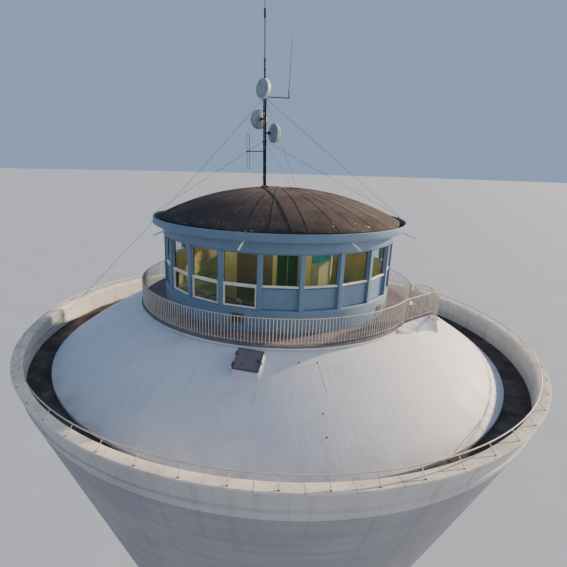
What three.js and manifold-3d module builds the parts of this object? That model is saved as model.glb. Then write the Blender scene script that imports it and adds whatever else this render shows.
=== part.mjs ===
import * as THREE from 'three';
import { mergeVertices } from 'three/addons/utils/BufferGeometryUtils.js';
import Module from 'manifold-3d';

const wasm = await Module();
wasm.setup();

// A concrete water tower at half of its full size: a slender flared shaft, an inverted cone tank
// with a white domed cover, and a round glazed room with a mast on top.
// Driving dimensions are full-size metres. Levels are measured from the rim of the tank.
// Azimuths are degrees from -Y towards +X.

const SCALE = 0.5;
const METRE = 1000 * SCALE;
const mm = (metres) => metres * METRE;

// Clearance between neighbouring solids, in model millimetres
const GAP = 0.3;
const SLIT = GAP / METRE;

// Number of flat sides that stand for the round walls
const SIDES = 44;

// Heights and radii of the concrete tower
const RIM_HEIGHT = 52.0;
const RIM_RADIUS = 13.0;
const FOUNDATION_RADIUS = 9.5;
const FOUNDATION_DEPTH = 0.4;
const FOOT_RADIUS = 6.0;
const NECK_RADIUS = 4.6;
const NECK_LEVEL = -24.67;
const CONE_FOOT_RADIUS = 5.66;
const CONE_FOOT_LEVEL = -19.3;
const LEDGE_RADIUS = 12.73;
const LEDGE_LEVEL = -0.95;
const PARAPET_FOOT_LEVEL = -1.35;
const SHAFT_WALL = 0.36;
const TANK_WALL = 0.43;
const COPING_DEPTH = 0.1;
const COPING_INNER_RADIUS = 12.57;
const PARAPET_INNER_RADIUS = 12.5;

// Gutter walk and domed cover
const GUTTER_LEVEL = -1.15;
const DOME_EDGE_RADIUS = 11.46;
const DOME_EDGE_LEVEL = -1.02;
const DOME_BULGE = [9.545, 0.407];
const DOME_TOP_RADIUS = 7.35;
const DOME_TOP_LEVEL = 1.35;
const DOME_NECK_RADIUS = 7.0;
const DOME_SHELL = 0.25;
const DOME_UNDERSIDE_BEND = [9.3, 0.12];
const RING_BEAM_RADIUS = 11.1;

// Deck round the room
const DECK_RADIUS = 7.12;
const DECK_LEVEL = 1.67;
const DECK_THICKNESS = 0.2;
const RAILING_RADIUS = 7.05;
const RAILING_HEIGHT = 1.11;

// Glazed room with its bays
const BAYS = 21;
const BAY_ANGLE = 360 / BAYS;
const BAY_START = -6.3;
const ROOM_RADIUS = 5.87;
const ROOM_WALL = 0.3;
const BASE_TOP = 2.65;
const SILL_BOTTOM = 3.58;
const SILL_TOP = 3.7;
const HEAD_BOTTOM = 5.0;
const HEAD_TOP = 5.08;
const BAND_TOP = 5.62;
const BAND_RADIUS = 5.95;
const EAVE_RADIUS = 6.42;
const EAVE_TOP = 5.95;
const EAVE_FLOOR = 5.72;
const FRAME_RADIUS = 5.83;
const GLASS_RADIUS = 5.675;
const GLASS_THICKNESS = 0.03;
const GLAZED_LOW_BAYS = 3;

// Roof of the room
const ROOF_EDGE_RADIUS = 6.08;
const ROOF_EDGE_LEVEL = 5.95;
const ROOF_APEX_LEVEL = 7.38;
const ROOF_FULLNESS = 2.2;
const ROOF_THICKNESS = 0.16;

// Mast
const MAST_X = -0.745;
const MAST_FOOT_LEVEL = 7.42;
const MAST_TOP_LEVEL = 11.6;
const MAST_REACH = 0.072;
const MAST_LEAN = 0.0305;
const LOW_COLLAR_LEVEL = 9.62;
const COLLAR_RADIUS = 0.145;
const COLLAR_THICKNESS = 0.03;

// Small repeated pieces
const SPOUTS = 9;
const SPOUT_START = -12;
const RAIL_POSTS = 57;
const RAIL_POST_START = 1.5;
const STAY_RADIUS = 0.008;

// Colours, roughness and metalness
const CONCRETE = { color: 0xc8cbd0, roughness: 0.9, metalness: 0 };
const COPING_STONE = { color: 0xd7cdc3, roughness: 0.9, metalness: 0 };
const WHITE_COVER = { color: 0xd9dde3, roughness: 0.7, metalness: 0 };
const BITUMEN = { color: 0x3a3638, roughness: 0.95, metalness: 0 };
const ROOF_FELT = { color: 0x5a4b49, roughness: 0.95, metalness: 0 };
const BLUE_PAINT = { color: 0x84a7c6, roughness: 0.55, metalness: 0 };
const WHITE_PAINT = { color: 0xe8e8e4, roughness: 0.5, metalness: 0 };
const GLASS = { color: 0x9fb0a8, roughness: 0.1, metalness: 0, transparent: true, opacity: 0.35 };
const GALVANISED = { color: 0xa8a49c, roughness: 0.6, metalness: 0.6 };
const DARK_STEEL = { color: 0x2e2b28, roughness: 0.8, metalness: 0.4 };
const LID_GREY = { color: 0x56535c, roughness: 0.8, metalness: 0.1 };
const DISH_GREY = { color: 0x9aa3ad, roughness: 0.6, metalness: 0.1 };
const ROOM_PLASTER = { color: 0xd8cf9a, roughness: 0.9, metalness: 0 };
const DOOR_GREEN = { color: 0x2e4238, roughness: 0.6, metalness: 0 };
const VENT_BROWN = { color: 0x7a5c48, roughness: 0.8, metalness: 0 };

const tower = new THREE.Group();

// Geometry helpers

// Signed volume of an indexed closed geometry, positive when its faces point outwards
function signedVolume(position, index) {
  const corners = [new THREE.Vector3(), new THREE.Vector3(), new THREE.Vector3()];
  let volume = 0;
  for (let i = 0; i < index.length; i += 3) {
    corners.forEach((corner, k) => corner.fromBufferAttribute(position, index[i + k]));
    volume += corners[0].dot(corners[1].clone().cross(corners[2])) / 6;
  }
  return volume;
}

// One closed skin with shared corners, no empty triangles and faces that point outwards
function closed(geometry) {
  const bare = geometry.clone();
  bare.deleteAttribute('normal');
  bare.deleteAttribute('uv');
  const merged = mergeVertices(bare, 0.001);
  const source = merged.index.array;
  const index = [];
  for (let i = 0; i < source.length; i += 3) {
    const [a, b, c] = source.slice(i, i + 3);
    if (a !== b && b !== c && c !== a) index.push(a, b, c);
  }
  if (signedVolume(merged.attributes.position, index) < 0) index.reverse();
  merged.setIndex(index);
  return merged;
}

function toSolid(geometry) {
  const skin = closed(geometry);
  return new wasm.Manifold(new wasm.Mesh({
    numProp: 3,
    vertProperties: new Float32Array(skin.attributes.position.array),
    triVerts: new Uint32Array(skin.index.array),
  }));
}

function toGeometry(solid) {
  const mesh = solid.getMesh();
  const geometry = new THREE.BufferGeometry();
  geometry.setAttribute('position', new THREE.BufferAttribute(new Float32Array(mesh.vertProperties), 3));
  geometry.setIndex(new THREE.BufferAttribute(new Uint32Array(mesh.triVerts), 1));
  return geometry;
}

const join = (geometries) => toGeometry(geometries.map(toSolid).reduce((sum, next) => sum.add(next)));
const cut = (geometry, ...tools) => toGeometry(tools.map(toSolid).reduce((rest, tool) => rest.subtract(tool),
  toSolid(geometry)));
const common = (geometry, tool) => toGeometry(toSolid(geometry).intersect(toSolid(tool)));

function add(name, geometry, look, parent = tower) {
  const mesh = new THREE.Mesh(geometry, new THREE.MeshStandardMaterial(look));
  mesh.name = name;
  parent.add(mesh);
  return mesh;
}

// Point at a radius and azimuth, in full-size metres
function polar(radius, azimuth) {
  const angle = THREE.MathUtils.degToRad(azimuth);
  return [radius * Math.sin(angle), -radius * Math.cos(angle)];
}

function point(x, y, level) {
  return new THREE.Vector3(mm(x), mm(y), mm(RIM_HEIGHT + level));
}

function polarPoint(radius, azimuth, level) {
  return point(...polar(radius, azimuth), level);
}

// Solid of revolution about Z whose profile starts and ends on the axis
function turned(profile, sides = SIDES, start = 0) {
  const points = profile.map(([radius, level]) => new THREE.Vector2(mm(radius), mm(RIM_HEIGHT + level)));
  const geometry = new THREE.LatheGeometry(points, sides, THREE.MathUtils.degToRad(start));
  const position = geometry.attributes.position;
  for (let i = 0; i < position.count; i += 1) {
    position.setXYZ(i, position.getX(i), -position.getZ(i), position.getY(i));
  }
  return closed(geometry);
}

// Ring about Z whose profile closes on itself
const ring = (profile, sides = SIDES, start = 0) => turned([...profile, profile[0]], sides, start);

// Upright prism on a plan outline, between two levels
function prism(outline, bottom, top) {
  const shape = new THREE.Shape(outline.map(([x, y]) => new THREE.Vector2(mm(x), mm(y))));
  const geometry = new THREE.ExtrudeGeometry(shape, { depth: mm(top - bottom), bevelEnabled: false });
  geometry.translate(0, 0, mm(RIM_HEIGHT + bottom));
  return geometry;
}

// Wedge of plan between two azimuths less than 180 degrees apart, kept half a gap off each side
function wedge(from, to, slit = SLIT) {
  const middle = (from + to) / 2;
  const half = THREE.MathUtils.degToRad((to - from) / 2);
  const [tipX, tipY] = polar(slit / 2 / Math.sin(half), middle);
  const reach = 2 * RIM_RADIUS;
  const outline = [0, 1, 2, 3, 4].map((step) => polar(reach, from + (to - from) * step / 4));
  return prism([[0, 0], ...outline].map(([x, y]) => [x + tipX, y + tipY]), -RIM_HEIGHT - 1, 20);
}

// Box set square to the radius at an azimuth: width along the wall, depth along the radius
function radialBox(width, depth, height, radius, azimuth, level) {
  const box = new THREE.BoxGeometry(mm(width), mm(depth), mm(height));
  box.rotateZ(THREE.MathUtils.degToRad(azimuth));
  const centre = polarPoint(radius, azimuth, level);
  return box.translate(centre.x, centre.y, centre.z);
}

// Round bar between two points
function rod(from, to, radius, sides = 6, endRadius = radius) {
  const span = to.clone().sub(from);
  const bar = new THREE.CylinderGeometry(mm(endRadius), mm(radius), span.length(), sides);
  const turn = new THREE.Quaternion().setFromUnitVectors(new THREE.Vector3(0, 1, 0), span.clone().normalize());
  const middle = from.clone().add(to).multiplyScalar(0.5);
  return bar.applyQuaternion(turn).translate(middle.x, middle.y, middle.z);
}

const steps = (count, value) => Array.from({ length: count }, (_, i) => value(i));

// Outer radius of the concrete at a level below the ledge
const coneSlope = (LEDGE_RADIUS - CONE_FOOT_RADIUS) / (LEDGE_LEVEL - CONE_FOOT_LEVEL);
const coneRadius = (level) => LEDGE_RADIUS + coneSlope * (level - LEDGE_LEVEL);

function neckRadius(level) {
  const rise = (level - NECK_LEVEL) / (CONE_FOOT_LEVEL - NECK_LEVEL);
  return NECK_RADIUS + (CONE_FOOT_RADIUS - NECK_RADIUS) * rise ** 2;
}

function shaftRadius(level) {
  const drop = (NECK_LEVEL - level) / (NECK_LEVEL + RIM_HEIGHT);
  return NECK_RADIUS + (FOOT_RADIUS - NECK_RADIUS) * drop ** 2;
}

// Shaft: four quarters of a flared wall, with a doorway in the front one, a foundation ring round its
// foot and a floor inside it

const SHAFT_QUARTERS = 4;
const DOOR_WIDTH = 1.3;
const DOOR_HEIGHT = 2.3;
const DOOR_THICKNESS = 0.08;
const DOORWAY_REACH = 3;
const FOUNDATION_BEVEL = 0.06;

const shaftLevels = [0, 0.25, 0.5, 0.75, 1].map((part) => -RIM_HEIGHT + part * (NECK_LEVEL + RIM_HEIGHT));
const shaftWall = ring([
  ...shaftLevels.map((level) => [shaftRadius(level), level]),
  ...[...shaftLevels].reverse().map((level) => [shaftRadius(level) - SHAFT_WALL, level]),
]);

const sillLevel = -RIM_HEIGHT + FOUNDATION_DEPTH;
const doorMiddle = sillLevel + DOOR_HEIGHT / 2;
const doorway = radialBox(DOOR_WIDTH, DOORWAY_REACH, DOOR_HEIGHT, FOOT_RADIUS, 0, doorMiddle);
steps(SHAFT_QUARTERS, (quarter) => {
  const middle = quarter * 90;
  const piece = common(shaftWall, wedge(middle - 45, middle + 45));
  const isFront = quarter === 0;
  add(`shaft_wall_${quarter + 1}`, isFront ? cut(piece, doorway) : piece, CONCRETE);
});

const doorRadius = FOOT_RADIUS - SHAFT_WALL / 2;
add('entrance_door', radialBox(DOOR_WIDTH - 2 * SLIT, DOOR_THICKNESS, DOOR_HEIGHT - 2 * SLIT, doorRadius, 0,
  doorMiddle), DOOR_GREEN);

// The foundation and the floor follow the lean of the wall's lowest stretch
const wallLean = (shaftRadius(shaftLevels[1]) - FOOT_RADIUS) / (shaftLevels[1] + RIM_HEIGHT);
const footLean = wallLean * FOUNDATION_DEPTH;
const foundationInside = FOOT_RADIUS + 2 * SLIT;
add('foundation_ring', ring([
  [foundationInside, -RIM_HEIGHT],
  [FOUNDATION_RADIUS, -RIM_HEIGHT],
  [FOUNDATION_RADIUS, sillLevel - FOUNDATION_BEVEL],
  [FOUNDATION_RADIUS - FOUNDATION_BEVEL, sillLevel],
  [foundationInside + footLean, sillLevel],
]), CONCRETE);
const floorRadius = FOOT_RADIUS - SHAFT_WALL - 2 * SLIT;
add('ground_floor', turned([
  [0, -RIM_HEIGHT],
  [floorRadius, -RIM_HEIGHT],
  [floorRadius + footLean, sillLevel],
  [0, sillLevel],
]), CONCRETE);

// Tank: inverted cone wall with a ring beam at its head, and a floor across the neck

const neckLevels = steps(3, (i) => NECK_LEVEL + (CONE_FOOT_LEVEL - NECK_LEVEL) * i / 2);
const RING_BEAM_DEPTH = 0.5;
const HAUNCH_LEVEL = PARAPET_FOOT_LEVEL - 1.2;
add('tank_wall', ring([
  ...neckLevels.map((level, i) => [neckRadius(level), i ? level : level + SLIT]),
  [coneRadius(PARAPET_FOOT_LEVEL), PARAPET_FOOT_LEVEL],
  [RING_BEAM_RADIUS, PARAPET_FOOT_LEVEL],
  [RING_BEAM_RADIUS, PARAPET_FOOT_LEVEL - RING_BEAM_DEPTH],
  [coneRadius(HAUNCH_LEVEL) - TANK_WALL, HAUNCH_LEVEL],
  ...[...neckLevels].reverse().map((level, i) => [
    neckRadius(level) - TANK_WALL, i === neckLevels.length - 1 ? level + SLIT : level]),
]), CONCRETE);

const TANK_FLOOR_THICKNESS = 0.4;
const tankFloorRadius = (level) => coneRadius(level) - TANK_WALL - 2 * SLIT;
const tankFloorTop = CONE_FOOT_LEVEL + 0.6;
add('tank_floor', turned([
  [0, tankFloorTop - TANK_FLOOR_THICKNESS],
  [tankFloorRadius(tankFloorTop - TANK_FLOOR_THICKNESS), tankFloorTop - TANK_FLOOR_THICKNESS],
  [tankFloorRadius(tankFloorTop), tankFloorTop],
  [0, tankFloorTop],
]), CONCRETE);

// Parapet in six sectors with its weathered ledge, the coping and the gutter walk

const parapet = ring([
  [PARAPET_INNER_RADIUS, PARAPET_FOOT_LEVEL + SLIT],
  [coneRadius(PARAPET_FOOT_LEVEL), PARAPET_FOOT_LEVEL + SLIT],
  [LEDGE_RADIUS, LEDGE_LEVEL],
  [LEDGE_RADIUS - 0.06, LEDGE_LEVEL + 0.05],
  [RIM_RADIUS - 0.05, -COPING_DEPTH - SLIT],
  [PARAPET_INNER_RADIUS + 0.02, -COPING_DEPTH - SLIT],
]);
const PARAPET_SECTORS = [
  ['front', -45, 45],
  ['right_near', 45, 78.75],
  ['right', 78.75, 101.25],
  ['right_far', 101.25, 135],
  ['back', 135, 225],
  ['left', 225, 315],
];
for (const [side, from, to] of PARAPET_SECTORS) {
  add(`parapet_${side}`, common(parapet, wedge(from, to)), CONCRETE);
}

const STAY_FOOT_AZIMUTH = -58;
const EYE_PLATE = [0.12, 0.12, 0.06];
const stayFootRadius = (COPING_INNER_RADIUS + RIM_RADIUS) / 2;
const coping = ring([
  [PARAPET_INNER_RADIUS + 0.02, -COPING_DEPTH],
  [RIM_RADIUS - 0.03, -COPING_DEPTH],
  [RIM_RADIUS, 0],
  [COPING_INNER_RADIUS, 0],
]);
const copingEye = radialBox(...EYE_PLATE, stayFootRadius, STAY_FOOT_AZIMUTH, EYE_PLATE[2] / 2 - 0.01);
add('coping', join([coping, copingEye]), COPING_STONE);

add('gutter_floor', ring([
  [RING_BEAM_RADIUS, PARAPET_FOOT_LEVEL + SLIT],
  [PARAPET_INNER_RADIUS - 0.01, PARAPET_FOOT_LEVEL + SLIT],
  [PARAPET_INNER_RADIUS - 0.01, GUTTER_LEVEL],
  [RING_BEAM_RADIUS, GUTTER_LEVEL],
]), BITUMEN);

// Low safety rail on the coping: leaning posts under one round rail

const SAFETY_RAIL_RADIUS = 12.63;
const SAFETY_RAIL_LEVEL = 0.29;
const SAFETY_POST_FOOT_RADIUS = 12.9;
const SAFETY_BAR = 0.022;
const safetyRail = ring([
  [SAFETY_RAIL_RADIUS - SAFETY_BAR, SAFETY_RAIL_LEVEL - SAFETY_BAR],
  [SAFETY_RAIL_RADIUS + SAFETY_BAR, SAFETY_RAIL_LEVEL - SAFETY_BAR],
  [SAFETY_RAIL_RADIUS + SAFETY_BAR, SAFETY_RAIL_LEVEL + SAFETY_BAR],
  [SAFETY_RAIL_RADIUS - SAFETY_BAR, SAFETY_RAIL_LEVEL + SAFETY_BAR],
]);
const safetyPosts = steps(RAIL_POSTS, (i) => {
  const azimuth = RAIL_POST_START + i * 360 / RAIL_POSTS;
  return rod(polarPoint(SAFETY_POST_FOOT_RADIUS, azimuth, -0.03),
    polarPoint(SAFETY_RAIL_RADIUS - 0.01, azimuth, SAFETY_RAIL_LEVEL), SAFETY_BAR, 3);
});
const copingSkin = ring([
  [RIM_RADIUS - 1, -0.5],
  [RIM_RADIUS + 1, -0.5],
  [RIM_RADIUS + 1, SLIT],
  [RIM_RADIUS - 1, SLIT],
]);
add('parapet_rail', cut(join([safetyRail, ...safetyPosts]), copingSkin), GALVANISED);

// Domed cover in four sectors, the front one with the hatch opening

const domeCurve = new THREE.QuadraticBezierCurve(
  new THREE.Vector2(DOME_EDGE_RADIUS, DOME_EDGE_LEVEL),
  new THREE.Vector2(...DOME_BULGE),
  new THREE.Vector2(DOME_TOP_RADIUS, DOME_TOP_LEVEL),
).getPoints(4).map((p) => [p.x, p.y]);
const deckUnderside = DECK_LEVEL - DECK_THICKNESS;
const domeProfile = [...domeCurve, [DOME_NECK_RADIUS, deckUnderside - SLIT]];
const dome = ring([
  [DOME_EDGE_RADIUS, GUTTER_LEVEL + SLIT],
  ...domeProfile,
  [DOME_NECK_RADIUS - DOME_SHELL, deckUnderside - SLIT],
  [DOME_NECK_RADIUS - DOME_SHELL, deckUnderside - DOME_SHELL],
  DOME_UNDERSIDE_BEND,
  [RING_BEAM_RADIUS + 0.05, GUTTER_LEVEL + SLIT],
]);

// Everything under the dome's outer face, lifted by a gap, for cutting what stands on it
const domeBody = (lift) => turned([
  [0, GUTTER_LEVEL - 0.5],
  [DOME_EDGE_RADIUS + lift, GUTTER_LEVEL - 0.5],
  ...domeProfile.map(([radius, level]) => [radius + lift, level + lift]),
  [0, deckUnderside + lift],
]);

// The hatch stands square to the slope of the dome
const HATCH_RADIUS = 7.98;
const HATCH_AZIMUTH = -6.4;
const HATCH_SLOPE = 25.5;
const HATCH_TURN = -4.5;
const HATCH_SEAT_LEVEL = 1.37;
const HATCH_KERB_OUTER = 0.98;
const HATCH_KERB_INNER = 0.8;
const HATCH_LID_SIZE = 1.02;
const HATCH_LID_THICKNESS = 0.05;
const HATCH_LID_CLEARANCE = 0.011;
const HATCH_KERB_DEPTH = 0.8;

const hatch = new THREE.Group();
hatch.position.copy(polarPoint(HATCH_RADIUS, HATCH_AZIMUTH, HATCH_SEAT_LEVEL));
hatch.rotation.order = 'ZXY';
hatch.rotation.z = THREE.MathUtils.degToRad(HATCH_AZIMUTH);
hatch.rotation.x = THREE.MathUtils.degToRad(HATCH_SLOPE);
hatch.rotateZ(THREE.MathUtils.degToRad(HATCH_TURN));
hatch.updateMatrix();
tower.add(hatch);
const intoHatch = hatch.matrix.clone().invert();

function hatchBox(width, length, bottom, top, x = 0, y = 0) {
  const box = new THREE.BoxGeometry(mm(width), mm(length), mm(top - bottom));
  return box.translate(mm(x), mm(y), mm((bottom + top) / 2));
}

const hatchShaft = hatchBox(HATCH_KERB_INNER, HATCH_KERB_INNER, -2 * HATCH_KERB_DEPTH, HATCH_KERB_DEPTH);
const hatchHole = hatchShaft.clone().applyMatrix4(hatch.matrix);
const domeSectors = [
  ['dome_cover_front', -40, 30],
  ['dome_cover_right', 30, 140],
  ['dome_cover_back', 140, 210],
  ['dome_cover_left', 210, 320],
];
for (const [name, from, to] of domeSectors) {
  const sector = common(dome, wedge(from, to));
  add(name, name === 'dome_cover_front' ? cut(sector, hatchHole) : sector, WHITE_COVER);
}

// Hatch kerb with two hinge brackets on its left side, each holding a pin
const HINGE_X = -HATCH_LID_SIZE / 2 - 0.03;
const HINGE_LEVEL = HATCH_LID_CLEARANCE + HATCH_LID_THICKNESS / 2;
const HINGE_PIN_RADIUS = 0.012;
const HINGE_BARREL_RADIUS = 0.025;
const HINGE_BARREL_LENGTH = 0.12;
const HINGE_EAR_THICKNESS = 0.02;
const HINGE_PLACES = [0.28, -0.28];
const HINGE_END_PLAY = 0.004;
const BRACKET_WIDTH = 0.09;
const BRACKET_BOTTOM = -0.075;
const BRACKET_TOP = -0.022;
const EAR_WIDTH = 0.044;
const EAR_BOTTOM = -0.05;
const LUG_WIDTH = 0.04;
const LUG_HALF_HEIGHT = 0.018;
const BORE_LENGTH = 0.3;

function hingeAxisRod(radius, length, y, sides) {
  const from = new THREE.Vector3(mm(HINGE_X), mm(y - length / 2), mm(HINGE_LEVEL));
  const to = new THREE.Vector3(mm(HINGE_X), mm(y + length / 2), mm(HINGE_LEVEL));
  return rod(from, to, radius, sides);
}

const earOffset = HINGE_BARREL_LENGTH / 2 + HINGE_END_PLAY + HINGE_EAR_THICKNESS / 2;
const hingeBrackets = HINGE_PLACES.flatMap((place) => {
  const width = 2 * earOffset + HINGE_EAR_THICKNESS;
  const base = hatchBox(BRACKET_WIDTH, width, BRACKET_BOTTOM, BRACKET_TOP,
    -HATCH_KERB_OUTER / 2 - BRACKET_WIDTH / 3, place);
  const ears = [-1, 1].flatMap((side) => [
    hingeAxisRod(HINGE_BARREL_RADIUS, HINGE_EAR_THICKNESS, place + side * earOffset, 8),
    hatchBox(EAR_WIDTH, HINGE_EAR_THICKNESS, EAR_BOTTOM, HINGE_LEVEL, HINGE_X, place + side * earOffset),
  ]);
  return [base, ...ears, hingeAxisRod(HINGE_PIN_RADIUS, width, place, 8)];
});
const kerbFrame = cut(hatchBox(HATCH_KERB_OUTER, HATCH_KERB_OUTER, -HATCH_KERB_DEPTH, 0), hatchShaft,
  domeBody(SLIT).applyMatrix4(intoHatch));
add('hatch_kerb', join([kerbFrame, ...hingeBrackets]), WHITE_PAINT, hatch);

// Hatch lid with two barrels that turn on the pins
const lidPlate = hatchBox(HATCH_LID_SIZE, HATCH_LID_SIZE, HATCH_LID_CLEARANCE,
  HATCH_LID_CLEARANCE + HATCH_LID_THICKNESS);
const lidLugs = HINGE_PLACES.flatMap((place) => [
  hingeAxisRod(HINGE_BARREL_RADIUS, HINGE_BARREL_LENGTH, place, 12),
  hatchBox(LUG_WIDTH, HINGE_BARREL_LENGTH, HINGE_LEVEL - LUG_HALF_HEIGHT, HINGE_LEVEL + LUG_HALF_HEIGHT,
    HINGE_X + LUG_WIDTH / 2, place),
]);
const lidBores = HINGE_PLACES.map((place) => hingeAxisRod(HINGE_PIN_RADIUS + 2 * SLIT, BORE_LENGTH, place, 12));
add('hatch_lid', cut(join([lidPlate, ...lidLugs]), ...lidBores), LID_GREY, hatch);

const HANDLE_X = 0.4;
const HANDLE_LENGTH = 0.14;
const HANDLE_WIDTH = 0.03;
const HANDLE_BAR = 0.025;
const HANDLE_RISE = 0.055;
const lidTop = HATCH_LID_CLEARANCE + HATCH_LID_THICKNESS + SLIT;
add('hatch_handle', join([
  hatchBox(HANDLE_WIDTH, HANDLE_LENGTH, lidTop + HANDLE_RISE - HANDLE_BAR, lidTop + HANDLE_RISE, HANDLE_X),
  ...[-1, 1].map((side) => hatchBox(HANDLE_WIDTH, HANDLE_BAR, lidTop, lidTop + HANDLE_RISE - HANDLE_BAR / 5,
    HANDLE_X, side * (HANDLE_LENGTH - HANDLE_BAR) / 2)),
]), DARK_STEEL, hatch);

const CATCH_DEPTH = 0.04;
const CATCH_WIDTH = 0.09;
const CATCH_BOTTOM = -0.09;
const CATCH_TOP = -0.012;
add('hatch_catch', hatchBox(CATCH_DEPTH, CATCH_WIDTH, CATCH_BOTTOM, CATCH_TOP,
  HATCH_KERB_OUTER / 2 + SLIT + CATCH_DEPTH / 2), DARK_STEEL, hatch);

// Deck slab and the balcony that widens it on the right

add('deck_slab', turned([
  [0, deckUnderside],
  [DECK_RADIUS, deckUnderside],
  [DECK_RADIUS, DECK_LEVEL],
  [0, DECK_LEVEL],
]), CONCRETE);

const BALCONY = {
  nearRing: [5.787, -4.09],
  nearBend: [7.5, -2.615],
  tongueEnd: [7.5, -3.12],
  nearCorner: [7.8, -3.12],
  farCorner: [7.89, -1.56],
  farBend: [7.55, -0.99],
  farEnd: [7.24, -0.96],
  farRing: [6.85, -1.2],
  inside: [6.2, -2.2],
};
const BALCONY_FOOT_LEVEL = -0.2;
const balconyOutline = Object.values(BALCONY);
const deckDisc = turned([
  [0, -3],
  [DECK_RADIUS + SLIT, -3],
  [DECK_RADIUS + SLIT, 3],
  [0, 3],
]);
add('balcony_platform', cut(prism(balconyOutline, BALCONY_FOOT_LEVEL, DECK_LEVEL), deckDisc, domeBody(SLIT)),
  CONCRETE);

// Railings: posts, a top rail and a bottom rail

const RAIL_BAR = 0.025;
const POST_BAR = 0.022;
const BOTTOM_RAIL_RISE = 0.1;
const railFoot = DECK_LEVEL + SLIT;
const railTop = DECK_LEVEL + RAILING_HEIGHT;

function railRing(level) {
  return ring([
    [RAILING_RADIUS - RAIL_BAR, level - RAIL_BAR],
    [RAILING_RADIUS + RAIL_BAR, level - RAIL_BAR],
    [RAILING_RADIUS + RAIL_BAR, level + RAIL_BAR],
    [RAILING_RADIUS - RAIL_BAR, level + RAIL_BAR],
  ]);
}

function railPost(x, y) {
  return rod(point(x, y, railFoot), point(x, y, railTop - RAIL_BAR), POST_BAR, 4);
}

const MOUTH_FROM = 57;
const MOUTH_TO = 79.5;
const MOUTH_POST_OFFSET = 0.3;
const mouth = wedge(MOUTH_FROM, MOUTH_TO, 0);
const ringRails = [railTop - RAIL_BAR, DECK_LEVEL + BOTTOM_RAIL_RISE].map((level) => cut(railRing(level), mouth));
const ringPosts = steps(BAYS, (i) => i * BAY_ANGLE)
  .filter((azimuth) => azimuth < MOUTH_FROM || azimuth > MOUTH_TO)
  .map((azimuth) => railPost(...polar(RAILING_RADIUS, azimuth)));
const mouthPosts = [MOUTH_FROM - MOUTH_POST_OFFSET, MOUTH_TO + MOUTH_POST_OFFSET]
  .map((azimuth) => railPost(...polar(RAILING_RADIUS, azimuth)));
add('deck_railing', join([...ringRails, ...ringPosts, ...mouthPosts]), GALVANISED);

// Railing panels along a run of plan points
function railRun(places) {
  const bars = places.slice(1).flatMap(([x, y], i) => {
    const [startX, startY] = places[i];
    return [railTop - RAIL_BAR, DECK_LEVEL + BOTTOM_RAIL_RISE].map((level) => rod(
      point(startX, startY, level), point(x, y, level), RAIL_BAR, 4));
  });
  const count = places.length - 1;
  const posts = places.map(([x, y]) => railPost(x, y));
  const between = steps(count, (i) => railPost(
    (places[i][0] + places[i + 1][0]) / 2, (places[i][1] + places[i + 1][1]) / 2));
  return [...bars, ...posts, ...between];
}

const BALCONY_RAIL = {
  nearEnd: [5.936, -3.804],
  stubEnd: [7.56, -3.05],
  nearCorner: [7.7, -3.02],
  branch: [7.73, -2.26],
  farCorner: [7.8, -1.58],
  farBend: [7.5, -1.06],
  farEnd: [7.16, -1.1],
  innerFar: [7.05, -1.45],
  innerNear: [7.02, -2.7],
};
add('balcony_railing', join([
  ...railRun([BALCONY_RAIL.nearEnd, BALCONY_RAIL.branch]),
  ...railRun([BALCONY_RAIL.stubEnd, BALCONY_RAIL.nearCorner, BALCONY_RAIL.branch, BALCONY_RAIL.farCorner,
    BALCONY_RAIL.farBend, BALCONY_RAIL.farEnd]),
]), GALVANISED);
add('balcony_inner_railing', join(railRun([BALCONY_RAIL.innerFar, BALCONY_RAIL.innerNear])), GALVANISED);

// Glazed room

const roomRing = (outer, inner, bottom, top) => ring([
  [inner, bottom],
  [outer, bottom],
  [outer, top],
  [inner, top],
], SIDES, BAY_START);
const bayRing = (outer, inner, bottom, top) => ring([
  [inner, bottom],
  [outer, bottom],
  [outer, top],
  [inner, top],
], BAYS, BAY_START);

add('room_base_wall', roomRing(ROOM_RADIUS, ROOM_RADIUS - ROOM_WALL, DECK_LEVEL + SLIT, BASE_TOP), BLUE_PAINT);

const FRAME_DEPTH = 0.15;
const MULLION_WIDTH = 0.24;
const MULLION_OUTER = 5.89;
const MULLION_INNER = 5.69;
const GLAZING_SPLIT = SILL_BOTTOM + 0.05;
const PANEL_THICKNESS = 0.08;
const frameRails = [
  [SILL_BOTTOM, SILL_TOP],
  [HEAD_BOTTOM, HEAD_TOP],
].map(([bottom, top]) => bayRing(FRAME_RADIUS, FRAME_RADIUS - FRAME_DEPTH, bottom, top));
const mullions = steps(BAYS, (bay) => radialBox(MULLION_WIDTH, MULLION_OUTER - MULLION_INNER,
  HEAD_TOP - BASE_TOP - SLIT, (MULLION_OUTER + MULLION_INNER) / 2, BAY_START + bay * BAY_ANGLE,
  (HEAD_TOP + BASE_TOP + SLIT) / 2));
add('window_frame', join([...frameRails, ...mullions]), BLUE_PAINT);

const glazedFrom = BAY_START - GLAZED_LOW_BAYS * BAY_ANGLE;
const lowRing = bayRing(GLASS_RADIUS, GLASS_RADIUS - GLASS_THICKNESS, BASE_TOP + SLIT, GLAZING_SPLIT);
const glazedWedge = wedge(glazedFrom, BAY_START);
add('lower_glazing', common(lowRing, glazedWedge), GLASS);
const panelRing = bayRing(GLASS_RADIUS, GLASS_RADIUS - PANEL_THICKNESS, BASE_TOP + SLIT, GLAZING_SPLIT);
add('lower_panels', cut(panelRing, wedge(glazedFrom, BAY_START, 0)), BLUE_PAINT);
add('upper_glazing', bayRing(GLASS_RADIUS, GLASS_RADIUS - GLASS_THICKNESS, GLAZING_SPLIT + SLIT, HEAD_TOP),
  GLASS);
add('upper_band', roomRing(BAND_RADIUS, ROOM_RADIUS - ROOM_WALL, HEAD_TOP + SLIT, BAND_TOP), BLUE_PAINT);

// Eave gutter with its upstand, rain spouts and eyes for the stays

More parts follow.
